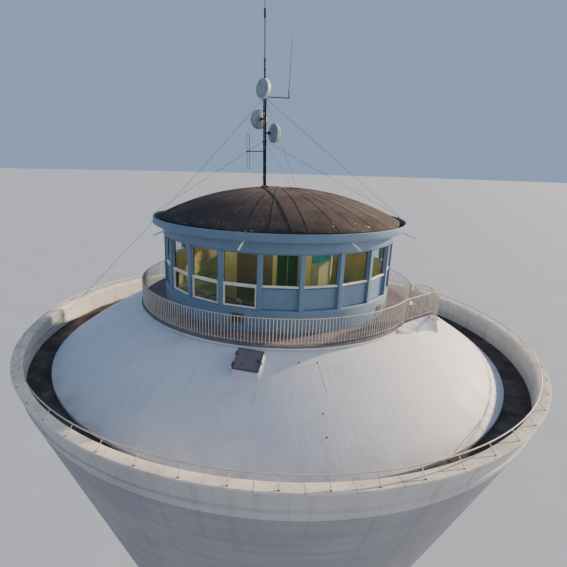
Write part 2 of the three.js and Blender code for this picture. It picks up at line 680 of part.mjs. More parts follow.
const EAVE_UPSTAND = 0.06;
const SPOUT_RADIUS = 0.045;
const SPOUT_ROOT = [6.1, 5.66];
const SPOUT_TIP = [6.9, 5.36];
const eave = ring([
  [ROOM_RADIUS - ROOM_WALL, BAND_TOP + SLIT],
  [EAVE_RADIUS, BAND_TOP + SLIT],
  [EAVE_RADIUS, EAVE_TOP],
  [EAVE_RADIUS - EAVE_UPSTAND, EAVE_TOP],
  [EAVE_RADIUS - EAVE_UPSTAND, EAVE_FLOOR],
  [ROOM_RADIUS - ROOM_WALL, EAVE_FLOOR],
], SIDES, BAY_START);
const bandSkin = roomRing(BAND_RADIUS + SLIT, ROOM_RADIUS - 1, HEAD_TOP - 0.5, BAND_TOP + SLIT);
const roofSkin = roomRing(EAVE_RADIUS - 0.03, ROOM_RADIUS - 1, EAVE_FLOOR, EAVE_FLOOR + 1);
const spouts = steps(SPOUTS, (i) => {
  const azimuth = SPOUT_START + i * 360 / SPOUTS;
  const [rootRadius, rootLevel] = SPOUT_ROOT;
  const [tipRadius, tipLevel] = SPOUT_TIP;
  return cut(rod(polarPoint(rootRadius, azimuth, rootLevel), polarPoint(tipRadius, azimuth, tipLevel),
    SPOUT_RADIUS), bandSkin, roofSkin);
});
const EYE_AZIMUTHS = { left: -90, right: 94, back: 166 };
const EAVE_EYE = [0.14, 0.05, 0.1];
const eyeRadius = EAVE_RADIUS * Math.cos(Math.PI / SIDES) - EAVE_UPSTAND / 2;
const EYE_SEAT = 0.02;
const eaveEyes = Object.values(EYE_AZIMUTHS).map((azimuth) => radialBox(...EAVE_EYE, eyeRadius, azimuth,
  EAVE_TOP + EAVE_EYE[2] / 2 - EYE_SEAT));
add('eave_gutter', join([eave, ...spouts, ...eaveEyes]), BLUE_PAINT);

// Roof dome, the low hatch at its top and the vents on the base wall

const roofLevel = (radius) => ROOF_APEX_LEVEL
  - (ROOF_APEX_LEVEL - ROOF_EDGE_LEVEL) * (radius / ROOF_EDGE_RADIUS) ** ROOF_FULLNESS;
const roofRadii = [0, 1.5, 3, 4.5, 5.5, ROOF_EDGE_RADIUS];
const ROOF_RIM_WIDTH = 0.2;
const roofUnderside = [ROOF_EDGE_RADIUS - ROOF_RIM_WIDTH, 3.2, 0];
add('roof_dome', turned([
  ...roofRadii.map((radius) => [radius, roofLevel(radius)]),
  [ROOF_EDGE_RADIUS, EAVE_FLOOR + SLIT],
  [ROOF_EDGE_RADIUS - ROOF_RIM_WIDTH, EAVE_FLOOR + SLIT],
  ...roofUnderside.map((radius) => [radius, roofLevel(radius) - ROOF_THICKNESS]),
], SIDES, BAY_START), ROOF_FELT);
const roofBody = turned([
  ...roofRadii.map((radius) => [radius, roofLevel(radius) + SLIT]),
  [ROOF_EDGE_RADIUS, EAVE_FLOOR],
  [0, EAVE_FLOOR],
], SIDES, BAY_START);

const ROOF_HATCH_X = -0.215;
const ROOF_HATCH_SIZE = 0.66;
const ROOF_HATCH_TOP = 7.47;
const ROOF_BLOCK_DEPTH = 0.3;

// Upright block that stands on the roof on the line of the mast
function roofBlock(x, size, top) {
  const block = new THREE.BoxGeometry(mm(size), mm(size), mm(ROOF_BLOCK_DEPTH));
  return cut(block.translate(mm(x), 0, mm(RIM_HEIGHT + top - ROOF_BLOCK_DEPTH / 2)), roofBody);
}
add('roof_hatch', roofBlock(ROOF_HATCH_X, ROOF_HATCH_SIZE, ROOF_HATCH_TOP), WHITE_PAINT);

const VENTS = [
  { name: 'vent_grille', width: 0.53, height: 0.45, azimuth: -15.1, level: 2.22 },
  { name: 'vent_cover', width: 0.5, height: 0.35, azimuth: 56, level: 2.12 },
];
const VENT_FACE = ROOM_RADIUS + 0.04;
const VENT_DEPTH = 0.12;
const wallSkin = roomRing(ROOM_RADIUS + SLIT, ROOM_RADIUS - 1, DECK_LEVEL, BASE_TOP);
for (const { name, width, height, azimuth, level } of VENTS) {
  const box = radialBox(width, VENT_DEPTH, height, VENT_FACE - VENT_DEPTH / 2, azimuth, level);
  add(name, cut(box, wallSkin), VENT_BROWN);
}

// Core of the room, seen through the windows, with a tall green door in one of its sides

const CORE_RADIUS = 3.0;
const CORE_SIDES = 16;
const CORE_WALL = 0.12;
const CORE_TOP = 5.4;
const CORE_DOOR_AZIMUTH = 10.7;
const CORE_DOOR_WIDTH = 1.0;
const CORE_DOOR_THICKNESS = 0.05;
const CORE_DOOR_TOP = 4.9;
const coreFoot = DECK_LEVEL + SLIT;
const coreFace = CORE_RADIUS * Math.cos(Math.PI / CORE_SIDES);
add('core_wall', ring([
  [CORE_RADIUS - CORE_WALL, coreFoot],
  [CORE_RADIUS, coreFoot],
  [CORE_RADIUS, CORE_TOP],
  [CORE_RADIUS - CORE_WALL, CORE_TOP],
], CORE_SIDES, CORE_DOOR_AZIMUTH - 180 / CORE_SIDES), ROOM_PLASTER);
add('core_door', radialBox(CORE_DOOR_WIDTH, CORE_DOOR_THICKNESS, CORE_DOOR_TOP - coreFoot,
  coreFace + CORE_DOOR_THICKNESS / 2 + SLIT, CORE_DOOR_AZIMUTH, (CORE_DOOR_TOP + coreFoot) / 2), DOOR_GREEN);

// Mast: foot plate, triangular lattice with two collars, and the stepped pole.
// It leans a little to the left: each level is shifted by the lean for each metre above the foot.

const mastPoint = (x, y, level) => point(MAST_X + x - MAST_LEAN * (level - MAST_FOOT_LEVEL), y, level);
const MAST_FOOT_SIZE = 0.4;
add('mast_foot', roofBlock(MAST_X, MAST_FOOT_SIZE, MAST_FOOT_LEVEL), DARK_STEEL);

const LEG_RADIUS = 0.022;
const RUNG_RADIUS = 0.012;
const RUNG_SPACING = 0.4;
const LOWEST_RUNG = 0.3;
const legPlace = (leg) => polar(MAST_REACH, 60 + 120 * leg);
const latticeFoot = MAST_FOOT_LEVEL + SLIT + LEG_RADIUS * MAST_LEAN;
const legs = steps(3, (leg) => rod(mastPoint(...legPlace(leg), latticeFoot),
  mastPoint(...legPlace(leg), MAST_TOP_LEVEL), LEG_RADIUS, 4));
const rungCount = Math.floor((MAST_TOP_LEVEL - MAST_FOOT_LEVEL - LOWEST_RUNG) / RUNG_SPACING);
const rungLevels = steps(rungCount, (i) => MAST_FOOT_LEVEL + LOWEST_RUNG + i * RUNG_SPACING);
const rungs = rungLevels.flatMap((level) => steps(3,
  (leg) => rod(mastPoint(...legPlace(leg), level), mastPoint(...legPlace(leg + 1), level), RUNG_RADIUS, 4)));
const collarDepth = new THREE.Vector3(0, 0, mm(COLLAR_THICKNESS));
const collar = (level, radius = COLLAR_RADIUS) => rod(mastPoint(0, 0, level).sub(collarDepth),
  mastPoint(0, 0, level), radius, 12);

// Dishes: hub, cone and shroud turned about their own axis, carried by a bent arm from the mast

const DISH_RADIUS = 0.455;
const DISH_DEPTH = 0.32;
const DISH_HUB = [0.09, 0];
const DISH_NECK = [0.12, 0.05];
const DISH_SHROUD_DEPTH = 0.15;
const ARM_RADIUS = 0.035;
const ARM_BEND = 0.1;
const DISHES = [
  { name: 'dish_front', carrier: 'pole', azimuth: -47, centre: [-0.01, -0.4, 11.98] },
  { name: 'dish_left', carrier: 'lattice', azimuth: -152, centre: [-0.29, 0.32, 10.67] },
  { name: 'dish_right', carrier: 'lattice', azimuth: 122, centre: [0.42, 0.16, 10.01] },
];

function dishParts({ azimuth, centre }) {
  const [x, y, level] = centre;
  const [faceX, faceY] = polar(1, azimuth);
  const along = (distance) => mastPoint(x + faceX * distance, y + faceY * distance, level);
  const profile = [
    [0, 0],
    DISH_HUB,
    DISH_NECK,
    [DISH_RADIUS, DISH_SHROUD_DEPTH],
    [DISH_RADIUS, DISH_DEPTH],
    [0, DISH_DEPTH],
  ];
  const points = profile.map(([radius, depth]) => new THREE.Vector2(mm(radius), mm(depth)));
  const body = new THREE.LatheGeometry(points, 20);
  const turn = new THREE.Quaternion().setFromUnitVectors(new THREE.Vector3(0, 1, 0),
    new THREE.Vector3(faceX, faceY, 0));
  const back = along(-DISH_DEPTH / 2);
  body.applyQuaternion(turn).translate(back.x, back.y, back.z);
  const elbow = along(-DISH_DEPTH / 2 - ARM_BEND);
  const arm = [
    rod(mastPoint(0, 0, level), elbow, ARM_RADIUS),
    rod(elbow, along(-DISH_DEPTH / 2 - SLIT), ARM_RADIUS),
  ];
  return { body: closed(body), arm };
}

const dishes = DISHES.map((dish) => ({ ...dish, ...dishParts(dish) }));
dishes.forEach(({ name, body }) => add(name, body, DISH_GREY));
const armsOn = (carrier) => dishes.filter((dish) => dish.carrier === carrier).flatMap((dish) => dish.arm);

add('mast_lattice', join([
  ...legs,
  ...rungs,
  collar(LOW_COLLAR_LEVEL),
  collar(MAST_TOP_LEVEL),
  ...dishes.filter((dish) => dish.carrier === 'lattice').map((dish) => collar(dish.centre[2], MAST_REACH)),
  ...armsOn('lattice'),
]), DARK_STEEL);

const POLE_SIDES = 10;
const POLE_FOOT_RADIUS = 0.055;
const POLE_STEP_LEVEL = 13.4;
const POLE_STEP_RADIUS = 0.04;
const UPPER_POLE_RADIUS = 0.024;
const SLEEVE_LEVEL = 15.1;
const SLEEVE_TOP = 15.5;
const SLEEVE_RADIUS = 0.05;
const WHIP_FOOT_RADIUS = 0.016;
const WHIP_TIP_RADIUS = 0.01;
const WHIP_TOP = 17.0;
const CLAMP_LEVEL = 12.54;
const CLAMP_RADIUS = 0.05;
const CLAMP_REACH = [-0.25, 0.06];
const poleProfile = [
  [0, MAST_TOP_LEVEL + SLIT],
  [POLE_FOOT_RADIUS, MAST_TOP_LEVEL + SLIT],
  [POLE_STEP_RADIUS, POLE_STEP_LEVEL],
  [UPPER_POLE_RADIUS, POLE_STEP_LEVEL],
  [UPPER_POLE_RADIUS, SLEEVE_LEVEL],
  [SLEEVE_RADIUS, SLEEVE_LEVEL],
  [SLEEVE_RADIUS, SLEEVE_TOP],
  [WHIP_FOOT_RADIUS, SLEEVE_TOP],
  [WHIP_TIP_RADIUS, WHIP_TOP],
  [0, WHIP_TOP],
];
const lean = new THREE.Matrix4().set(
  1, 0, -MAST_LEAN, mm(MAST_X + MAST_LEAN * (RIM_HEIGHT + MAST_FOOT_LEVEL)),
  0, 1, 0, 0,
  0, 0, 1, 0,
  0, 0, 0, 1,
);
const pole = turned(poleProfile, POLE_SIDES).applyMatrix4(lean);
const poleClamp = rod(mastPoint(0, CLAMP_REACH[0], CLAMP_LEVEL), mastPoint(0, CLAMP_REACH[1], CLAMP_LEVEL),
  CLAMP_RADIUS);
add('mast_pole', join([pole, poleClamp, ...armsOn('pole')]), DARK_STEEL);

// Side antennas: a whip on the right, a folded loop on the left

const RIGHT_ARM_LEVEL = 11.68;
const RIGHT_ARM_BAR = 0.025;
const rightArmStart = POLE_FOOT_RADIUS * Math.cos(Math.PI / POLE_SIDES) + 2 * SLIT;
const rightArmEnd = mastPoint(1.18, 0, 11.64);
const rightBaseFoot = mastPoint(1.18, 0, 11.62);
const rightBaseTop = mastPoint(1.17, 0, 12.0);
const rightWhipTip = mastPoint(1.29, 0, 14.4);
add('right_antenna', join([
  rod(mastPoint(rightArmStart, 0, RIGHT_ARM_LEVEL), rightArmEnd, RIGHT_ARM_BAR),
  rod(rightBaseFoot, rightBaseTop, RIGHT_ARM_BAR),
  rod(rightBaseTop, rightWhipTip, 0.014, 6, 0.008),
]), DARK_STEEL);

const LEFT_ARM_LEVEL = 9.12;
const LEFT_ARM_END = -0.95;
const LOOP_X = [-0.895, -0.77];
const LOOP_LEVELS = [8.27, 9.92];
const LOOP_BAR = 0.012;
const LEFT_ARM_BAR = 0.022;
const LEFT_ARM_DROP = 0.01;
const [frontLegX, frontLegY] = legPlace(2);
const leftArmStart = frontLegX - LEG_RADIUS - SLIT;
const leftPoint = (x, level) => mastPoint(x, frontLegY, level);
add('left_antenna', join([
  rod(leftPoint(leftArmStart, LEFT_ARM_LEVEL), leftPoint(LEFT_ARM_END, LEFT_ARM_LEVEL - LEFT_ARM_DROP),
    LEFT_ARM_BAR),
  ...LOOP_X.map((x) => rod(leftPoint(x, LOOP_LEVELS[0]), leftPoint(x, LOOP_LEVELS[1]), LOOP_BAR, 4)),
  ...LOOP_LEVELS.map((level) => rod(leftPoint(LOOP_X[0], level), leftPoint(LOOP_X[1], level), LOOP_BAR, 4)),
]), DARK_STEEL);

// Stays from the two collars to the eave and to the coping

const STAY_START_RADIUS = 0.12;

// Lowers or raises a stay's end so that the rim of its round face clears a level surface by a gap
function seatedEnd(end, towards, side) {
  const direction = towards.clone().sub(end).normalize();
  const lift = mm(STAY_RADIUS) * Math.sqrt(1 - direction.z ** 2) + GAP;
  return end.clone().add(new THREE.Vector3(0, 0, side * lift));
}

// A stay's two ends and the middle point that its sag pulls it towards
function stayPoints(collarLevel, footRadius, footAzimuth, footLevel, sag = 0) {
  const foot = polarPoint(footRadius, footAzimuth, footLevel);
  const heading = foot.clone().sub(mastPoint(0, 0, collarLevel)).setZ(0);
  heading.normalize().multiplyScalar(mm(STAY_START_RADIUS));
  const start = mastPoint(0, 0, collarLevel - COLLAR_THICKNESS).add(heading);
  const middle = start.clone().lerp(foot, 0.5);
  middle.z -= mm(2 * sag);
  return [seatedEnd(start, middle, -1), middle, seatedEnd(foot, middle, 1)];
}

// Two stays share an eye, side by side
const EYE_SPLIT = 0.3;
const eyeTop = EAVE_TOP + EAVE_EYE[2] - EYE_SEAT;
const eaveStays = [
  ['stay_upper_right', MAST_TOP_LEVEL, eyeRadius, EYE_AZIMUTHS.right - EYE_SPLIT, eyeTop],
  ['stay_upper_back', MAST_TOP_LEVEL, eyeRadius, EYE_AZIMUTHS.back - EYE_SPLIT, eyeTop],
  ['stay_lower_left', LOW_COLLAR_LEVEL, eyeRadius, EYE_AZIMUTHS.left, eyeTop],
  ['stay_lower_right', LOW_COLLAR_LEVEL, eyeRadius, EYE_AZIMUTHS.right + EYE_SPLIT, eyeTop],
  ['stay_lower_back', LOW_COLLAR_LEVEL, eyeRadius, EYE_AZIMUTHS.back + EYE_SPLIT, eyeTop],
];
for (const [name, ...place] of eaveStays) {
  const [start, , foot] = stayPoints(...place);
  add(name, rod(start, foot, STAY_RADIUS), GALVANISED);
}

const LONG_STAY_SAG = 0.2;
const longStay = stayPoints(MAST_TOP_LEVEL, stayFootRadius, STAY_FOOT_AZIMUTH, EYE_PLATE[2] - 0.01, LONG_STAY_SAG);
const staySection = new THREE.Shape().absarc(0, 0, mm(STAY_RADIUS), 0, 2 * Math.PI);
add('stay_upper_left', closed(new THREE.ExtrudeGeometry(staySection, {
  steps: 12,
  curveSegments: 6,
  extrudePath: new THREE.QuadraticBezierCurve3(...longStay),
})), GALVANISED);

export default tower;
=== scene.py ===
import math
import random

import bmesh
import bpy
from mathutils import Matrix, Vector


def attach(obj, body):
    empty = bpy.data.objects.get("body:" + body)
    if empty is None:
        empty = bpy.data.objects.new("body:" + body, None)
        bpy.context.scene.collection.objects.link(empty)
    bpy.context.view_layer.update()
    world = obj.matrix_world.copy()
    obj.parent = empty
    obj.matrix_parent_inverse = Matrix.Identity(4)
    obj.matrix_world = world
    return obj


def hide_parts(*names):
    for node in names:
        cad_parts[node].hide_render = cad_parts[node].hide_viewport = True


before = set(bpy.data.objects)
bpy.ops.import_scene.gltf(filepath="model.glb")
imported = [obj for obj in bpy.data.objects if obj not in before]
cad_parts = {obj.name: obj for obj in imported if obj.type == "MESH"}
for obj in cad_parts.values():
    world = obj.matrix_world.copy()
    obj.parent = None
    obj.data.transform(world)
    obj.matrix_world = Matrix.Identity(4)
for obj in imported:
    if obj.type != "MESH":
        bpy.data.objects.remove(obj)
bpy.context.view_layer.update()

# The looks of a water tower at half of its full size.
# Sizes are full-size metres. Levels are measured from the rim of the tank.
# Azimuths are degrees from -Y towards +X.
SCALE = 0.5
RIM_HEIGHT = 52.0
FINE = 240
UP = Vector((0, 0, 1))


def polar(radius, azimuth, level=0.0):
    angle = math.radians(azimuth)
    return Vector((radius * math.sin(angle), -radius * math.cos(angle), level))


def placed(point):
    return Vector((point[0] * SCALE, point[1] * SCALE, (point[2] + RIM_HEIGHT) * SCALE))


def spread(start, end, count):
    return [start + (end - start) * i / (count - 1) for i in range(count)]


def facing(point, azimuth):
    return Matrix.Translation(point) @ Matrix.Rotation(math.radians(azimuth), 4, "Z")


def at(radius, azimuth, level=0.0):
    """Place on a round wall: local x runs along it to the right, local y inwards, z upwards."""
    return facing(polar(radius, azimuth, level), azimuth)


def moved(place, x=0.0, y=0.0, z=0.0):
    return place @ Matrix.Translation((x, y, z))


def four_corners(x, y):
    return (-x, -y), (-x, y), (x, -y), (x, y)


def new_object(name, data):
    made = bpy.data.objects.new(name, data)
    bpy.context.scene.collection.objects.link(made)
    return made


# Camera at the photograph's view
IMAGE_WIDTH = 567
FOCAL_PIXELS = 424.6
CENTRE_COLUMN = 251.2
SENSOR_WIDTH = 36.0
PITCH, ROLL, YAW = math.radians(15.72), math.radians(1.45), math.radians(-3.34)
EYE = Vector((0.0, -11.25, 30.25))


def set_camera():
    forward = Vector((math.cos(PITCH) * math.sin(YAW), math.cos(PITCH) * math.cos(YAW), -math.sin(PITCH)))
    right = Vector((math.cos(YAW), -math.sin(YAW), 0.0))
    down = forward.cross(right)
    across = right * math.cos(ROLL) - down * math.sin(ROLL)
    downward = right * math.sin(ROLL) + down * math.cos(ROLL)
    data = bpy.data.cameras.new("camera")
    data.sensor_fit = "HORIZONTAL"
    data.sensor_width = SENSOR_WIDTH
    data.lens = SENSOR_WIDTH * FOCAL_PIXELS / IMAGE_WIDTH
    data.shift_x = (IMAGE_WIDTH / 2 - CENTRE_COLUMN) / IMAGE_WIDTH
    data.clip_start = 0.1
    data.clip_end = 4000.0
    camera = new_object("camera", data)
    turn = Matrix((across, -downward, -forward)).transposed()
    camera.matrix_world = Matrix.Translation(EYE) @ turn.to_4x4()
    bpy.context.scene.camera = camera


# Forms: lists of points and faces


def loft(rings, wrap=False):
    """Skin over rings of points, capped at both ends unless the last ring joins the first."""
    count = len(rings[0])
    points = [point for ring in rings for point in ring]
    faces = []
    for i in range(len(rings) if wrap else len(rings) - 1):
        here, there = i * count, (i + 1) % len(rings) * count
        for k in range(count):
            n = (k + 1) % count
            faces.append((here + k, there + k, there + n, here + n))
    if not wrap:
        faces.append(tuple(reversed(range(count))))
        faces.append(tuple(range(len(points) - count, len(points))))
    return points, faces


def revolve(profile, start=0.0, end=360.0, sides=FINE):
    """Closed profile of radius and level turned round the axis, or part of the way round."""
    full = end - start >= 360
    azimuths = spread(start, end, max(2, round(sides * (end - start) / 360) + 1))
    if full:
        azimuths.pop()
    return loft([[polar(r, a, z) for r, z in profile] for a in azimuths], wrap=full)


def stack(profile, sides=FINE):
    """Solid of revolution made of level circles, capped by flat discs."""
    return loft([[polar(r, 360 * i / sides, z) for i in range(sides)] for r, z in profile])


def band(inner, outer, bottom, top):
    return [(inner, bottom), (outer, bottom), (outer, top), (inner, top)]


def eased(profile, size):
    """A closed profile whose corners are cut off by a small chamfer."""
    result = []
    for i, corner in enumerate(profile):
        here = Vector(corner)
        for other in (Vector(profile[i - 1]), Vector(profile[(i + 1) % len(profile)])):
            way = other - here
            result.append(tuple(here + way.normalized() * min(size, way.length / 3)))
    return result


def block(width, depth, height, chamfer):
    """Box round the origin with chamfered edges."""
    cut = min(chamfer, width / 3, depth / 3, height / 3)

    def outline(inset, level):
        x, y = width / 2 - inset, depth / 2 - inset
        corners = [(x, y - cut), (x - cut, y), (cut - x, y), (-x, y - cut)]
        return [Vector((a, b, level)) for a, b in corners + [(-a, -b) for a, b in corners]]

    half = height / 2
    return loft([outline(cut, -half), outline(0, cut - half), outline(0, half - cut), outline(cut, half)])


def prism(outline, bottom, top, chamfer):
    """Upright solid on a plan outline, with the upper edge cut by a chamfer."""
    middle = sum((Vector(p) for p in outline), Vector((0, 0))) / len(outline)
    drawn_in = [Vector(p) + (middle - Vector(p)).normalized() * chamfer for p in outline]
    rings = [(outline, bottom), (outline, top - chamfer), (drawn_in, top)]
    return loft([[Vector((x, y, z)) for x, y in line] for line, z in rings])


def tube(path, radius, sides=8, wrap=False):
    """Round tube along a path; the radius may be a list with one value for each point."""
    path = [Vector(p) for p in path]
    radii = radius if isinstance(radius, list) else [radius] * len(path)
    rings = []
    normal = None
    for i, here in enumerate(path):
        before = path[i - 1] if i or wrap else here
        after = path[(i + 1) % len(path)] if i + 1 < len(path) or wrap else here
        along = (after - before).normalized()
        if normal is None:
            normal = Vector((1, 0, 0)) if abs(along.z) > 0.9 else along.orthogonal()
        normal = (normal - along * normal.dot(along)).normalized()
        other = along.cross(normal)
        angles = [2 * math.pi * k / sides for k in range(sides)]
        rings.append([here + (normal * math.cos(t) + other * math.sin(t)) * radii[i] for t in angles])
    return loft(rings, wrap)


def square_ring(profile, corner):
    """Closed profile of half size and height carried round a square with cut corners."""
    rings = []
    for turn in range(4):
        way = Matrix.Rotation(turn * math.pi / 2, 3, "Z")
        rings.append([way @ Vector((half, corner - half, z)) for half, z in profile])
        rings.append([way @ Vector((half, half - corner, z)) for half, z in profile])
    return loft(rings, wrap=True)


def laid_strip(level_at, places, sides, section):
    """Thin strip that lies on a surface of revolution along a row of places."""
    rings = []
    for place, side in zip(places, sides):
        corners = [place + side * x for x, _ in section]
        for corner, (_, z) in zip(corners, section):
            corner.z = level_at(corner.xy.length) + z
        rings.append(corners)
    return loft(rings)


def closed_mesh(name, points, faces):
    """Mesh at the model's scale, with all faces looking outwards."""
    mesh = bpy.data.meshes.new(name)
    mesh.from_pydata([placed(p) for p in points], [], faces)
    work = bmesh.new()
    work.from_mesh(mesh)
    bmesh.ops.recalc_face_normals(work, faces=work.faces)
    work.to_mesh(mesh)
    work.free()
    return mesh


def carve(piece, points, faces):
    """Cuts a closed form out of a piece."""
    cutter = new_object("opening", closed_mesh("opening", points, faces))
    modifier = piece.modifiers.new("opening", "BOOLEAN")
    modifier.operation = "DIFFERENCE"
    modifier.solver = "EXACT"
    modifier.object = cutter
    bpy.context.view_layer.update()
    graph = bpy.context.evaluated_depsgraph_get()
    shaped = bpy.data.meshes.new_from_object(piece.evaluated_get(graph))
    piece.modifiers.clear()
    piece.data = shaped
    bpy.data.objects.remove(cutter)


LOOKS = {}


class Shape:
    """The points and faces of one piece, collected from forms."""

    def __init__(self, name, *looks):
        self.name = name
        self.materials = [LOOKS[look] for look in looks]
        self.points = []
        self.faces = []
        self.looks = []

    def add(self, form, look=0, place=None):
        points, faces = form
        start = len(self.points)
        self.points += [place @ Vector(p) for p in points] if place else points
        self.faces += [[start + i for i in face] for face in faces]
        self.looks += [look] * len(faces)
        return self

    def box(self, size, chamfer, place, look=0):
        self.add(block(*size, chamfer), look, place)

    def rod(self, path, radius, sides=8, look=0):
        self.add(tube(path, radius, sides), look)

    def turned(self, foot, profile, sides=16, look=0):
        """Small turned form standing upright on a point."""
        self.add(stack(profile, sides), look, Matrix.Translation(foot))

    def build(self, slot, *stands_for, body="tower", sharp=32.0, opening=None):
        mesh = closed_mesh(self.name, self.points, self.faces)
        for material in self.materials:
            mesh.materials.append(material)
        mesh.polygons.foreach_set("material_index", self.looks)
        piece = new_object(self.name, mesh)
        if opening:
            carve(piece, *opening)
        piece.data.polygons.foreach_set("use_smooth", [True] * len(piece.data.polygons))
        piece.data.set_sharp_from_angle(angle=math.radians(sharp))
        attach(piece, body)
        if stands_for:
            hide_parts(*stands_for)


# Materials: a base colour with stains, in places painted light and shade, a bump and optional gloss. Colours
# run from 0 to 255.


def linear(colour):
    parts = [part / 255 for part in colour]
    return *(p / 12.92 if p <= 0.04045 else ((p + 0.055) / 1.055) ** 2.4 for p in parts), 1.0


class Look:
    """One procedural material round a Principled shader."""

    def __init__(self, name, colour, roughness, *others):
        LOOKS[name] = bpy.data.materials.new(name)
        LOOKS[name].use_nodes = True
        self.tree = LOOKS[name].node_tree
        self.shader = self.tree.nodes["Principled BSDF"]
        self.colour = linear(colour)
        for socket, value in (("Base Color", self.colour), ("Roughness", roughness), *others):
            self.shader.inputs[socket].default_value = value
        self.coordinates = self.tree.nodes.new("ShaderNodeTexCoord").outputs["Object"]

    def node(self, kind, inputs, **settings):
        made = self.tree.nodes.new(kind)
        for name, value in settings.items():
            setattr(made, name, value)
        for place, value in inputs:
            if isinstance(value, bpy.types.NodeSocket):
                self.tree.links.new(value, made.inputs[place])
            else:
                made.inputs[place].default_value = value
        return made

    def set_socket(self, socket, value):
        self.tree.links.new(value, self.shader.inputs[socket])

    def number(self, operation, *values):
        return self.node("ShaderNodeMath", enumerate(values), operation=operation).outputs[0]

    def vector(self, operation, *inputs):
        return self.node("ShaderNodeVectorMath", inputs, operation=operation).outputs

    def product(self, first, second):
        return self.number("MULTIPLY", first, second)

    def flat(self):
        return self.vector("MULTIPLY", (0, self.coordinates), (1, (1, 1, 0)))[0]

    def reach(self, flat):
        return self.vector("LENGTH", (0, flat))["Value"]

    def rise(self):
        return self.node("ShaderNodeSeparateXYZ", [(0, self.coordinates)]).outputs[2]

    def noise(self, scale, detail, vector=None, rough=0.55):
        vector = vector or self.coordinates
        inputs = [("Vector", vector), ("Scale", scale), ("Detail", detail), ("Roughness", rough)]
        return self.node("ShaderNodeTexNoise", inputs).outputs[0]

    def streaks(self, detail, around, along, by_radius=False):
        """Noise stretched down a wall, or along the radius."""
        flat = self.flat()
        way = self.vector("NORMALIZE", (0, flat))[0]
        way = self.vector("SCALE", (0, way), (3, around))[0]
        rise = self.product(self.reach(flat) if by_radius else self.rise(), along)
        rise = self.node("ShaderNodeCombineXYZ", [(2, rise)]).outputs[0]
        return self.noise(1.0, detail, self.vector("ADD", (0, way), (1, rise))[0])

    def between(self, value, low, high, bottom=0.0, top=1.0):
        inputs = [(0, value), (1, low), (2, high), (3, bottom), (4, top)]
        return self.node("ShaderNodeMapRange", inputs).outputs[0]

    def spots(self, scale, detail, low, high, most=1.0, least=0.0, rough=0.55):
        """Factor that is greatest where a noise is above the high value."""
        return self.between(self.noise(scale, detail, rough=rough), low, high, least, most)

    def level_fade(self, low, high):
        """Runs from 0 at one full-size level to 1 at another."""
        return self.between(self.rise(), (low + RIM_HEIGHT) * SCALE, (high + RIM_HEIGHT) * SCALE)

    def radius_fade(self, low, high):
        """Runs from 0 at one full-size radius to 1 at another."""
        return self.between(self.reach(self.flat()), low * SCALE, high * SCALE)

    def blend_colour(self, colour, factor):
        """Mixes another colour into the base colour."""
        inputs = [(0, factor), (6, self.colour), (7, linear(colour))]
        self.colour = self.node("ShaderNodeMix", inputs, data_type="RGBA").outputs[2]
        self.set_socket("Base Color", self.colour)

    def patches(self, colour, *spots, **options):
        self.blend_colour(colour, self.spots(*spots, **options))

    def gloss(self, factor, low, high):
        """Lets the roughness run between two values."""
        self.set_socket("Roughness", self.between(factor, 0.0, 1.0, low, high))

    def relief(self, *layers):
        """Bump of one or more patterns, each with its depth in model metres."""
        height = self.product(*layers[0])
        for layer in layers[1:]:
            height = self.number("ADD", height, self.product(*layer))
        bump = self.node("ShaderNodeBump", [("Height", height), ("Distance", 1.0), ("Strength", 1.0)])
        self.set_socket("Normal", bump.outputs[0])


def concrete_look(name, tone):
    """Board-marked concrete; the tone darkens and tints all its colours, and a tone below 1 is painted shade.
    """

    def toned(*colour):
        return [part * share for part, share in zip(colour, tone)]

    look = Look(name, toned(200, 198, 194), 0.88)
    look.patches(toned(176, 176, 176), 0.7, 6, 0.42, 0.7, 0.75)
    look.blend_colour(toned(172, 172, 173), look.between(look.streaks(3, 1.4, 9.0), 0.5, 0.75, 0, 0.5))
    drips = look.between(look.streaks(4, 34, 0.16), 0.52, 0.78, 0, 0.55)
    look.blend_colour(toned(150, 146, 140), look.product(drips, look.level_fade(-14, -0.5)))
    foot = look.product(look.level_fade(-44, -52), look.spots(1.3, 5, 0.35, 0.65))
    look.blend_colour(toned(146, 142, 128), look.product(foot, look.spots(5, 4, 0.3, 0.6, 0.9, 0.3)))
    look.relief((look.streaks(2, 0.6, 26.0), 0.006), (look.noise(45, 5), 0.0025))


def metal_look(name, colour, dark, bright, roughness, metallic):
    look = Look(name, colour, roughness, ("Metallic", metallic))
    look.patches(dark, 9, 5, 0.5, 0.7, 0.75)
    look.patches(bright, 26, 4, 0.58, 0.72, 0.6)
    look.gloss(look.noise(14, 3), roughness - 0.12, min(roughness + 0.15, 1.0))
    look.relief((look.noise(80, 3), 0.0006))


def plain_look(name, colour, second, roughness, scale):
    look = Look(name, colour, roughness)
    look.patches(second, scale, 5, 0.45, 0.7, 0.7)
    look.gloss(look.noise(scale, 3), roughness - 0.1, min(roughness + 0.1, 1.0))
    look.relief((look.noise(scale * 8, 4), 0.0006))


def glass_look(name, alpha):
    # The dull green base colour and its lighter patches, seen where the glass is not see-through, are partly
    # the glass's tint and partly painted reflection.
    look = Look(name, (70, 96, 82), 0.04, ("Alpha", alpha), ("Specular IOR Level", 0.1))
    look.patches((96, 116, 100), 1.5, 4, 0.45, 0.7, 0.6)


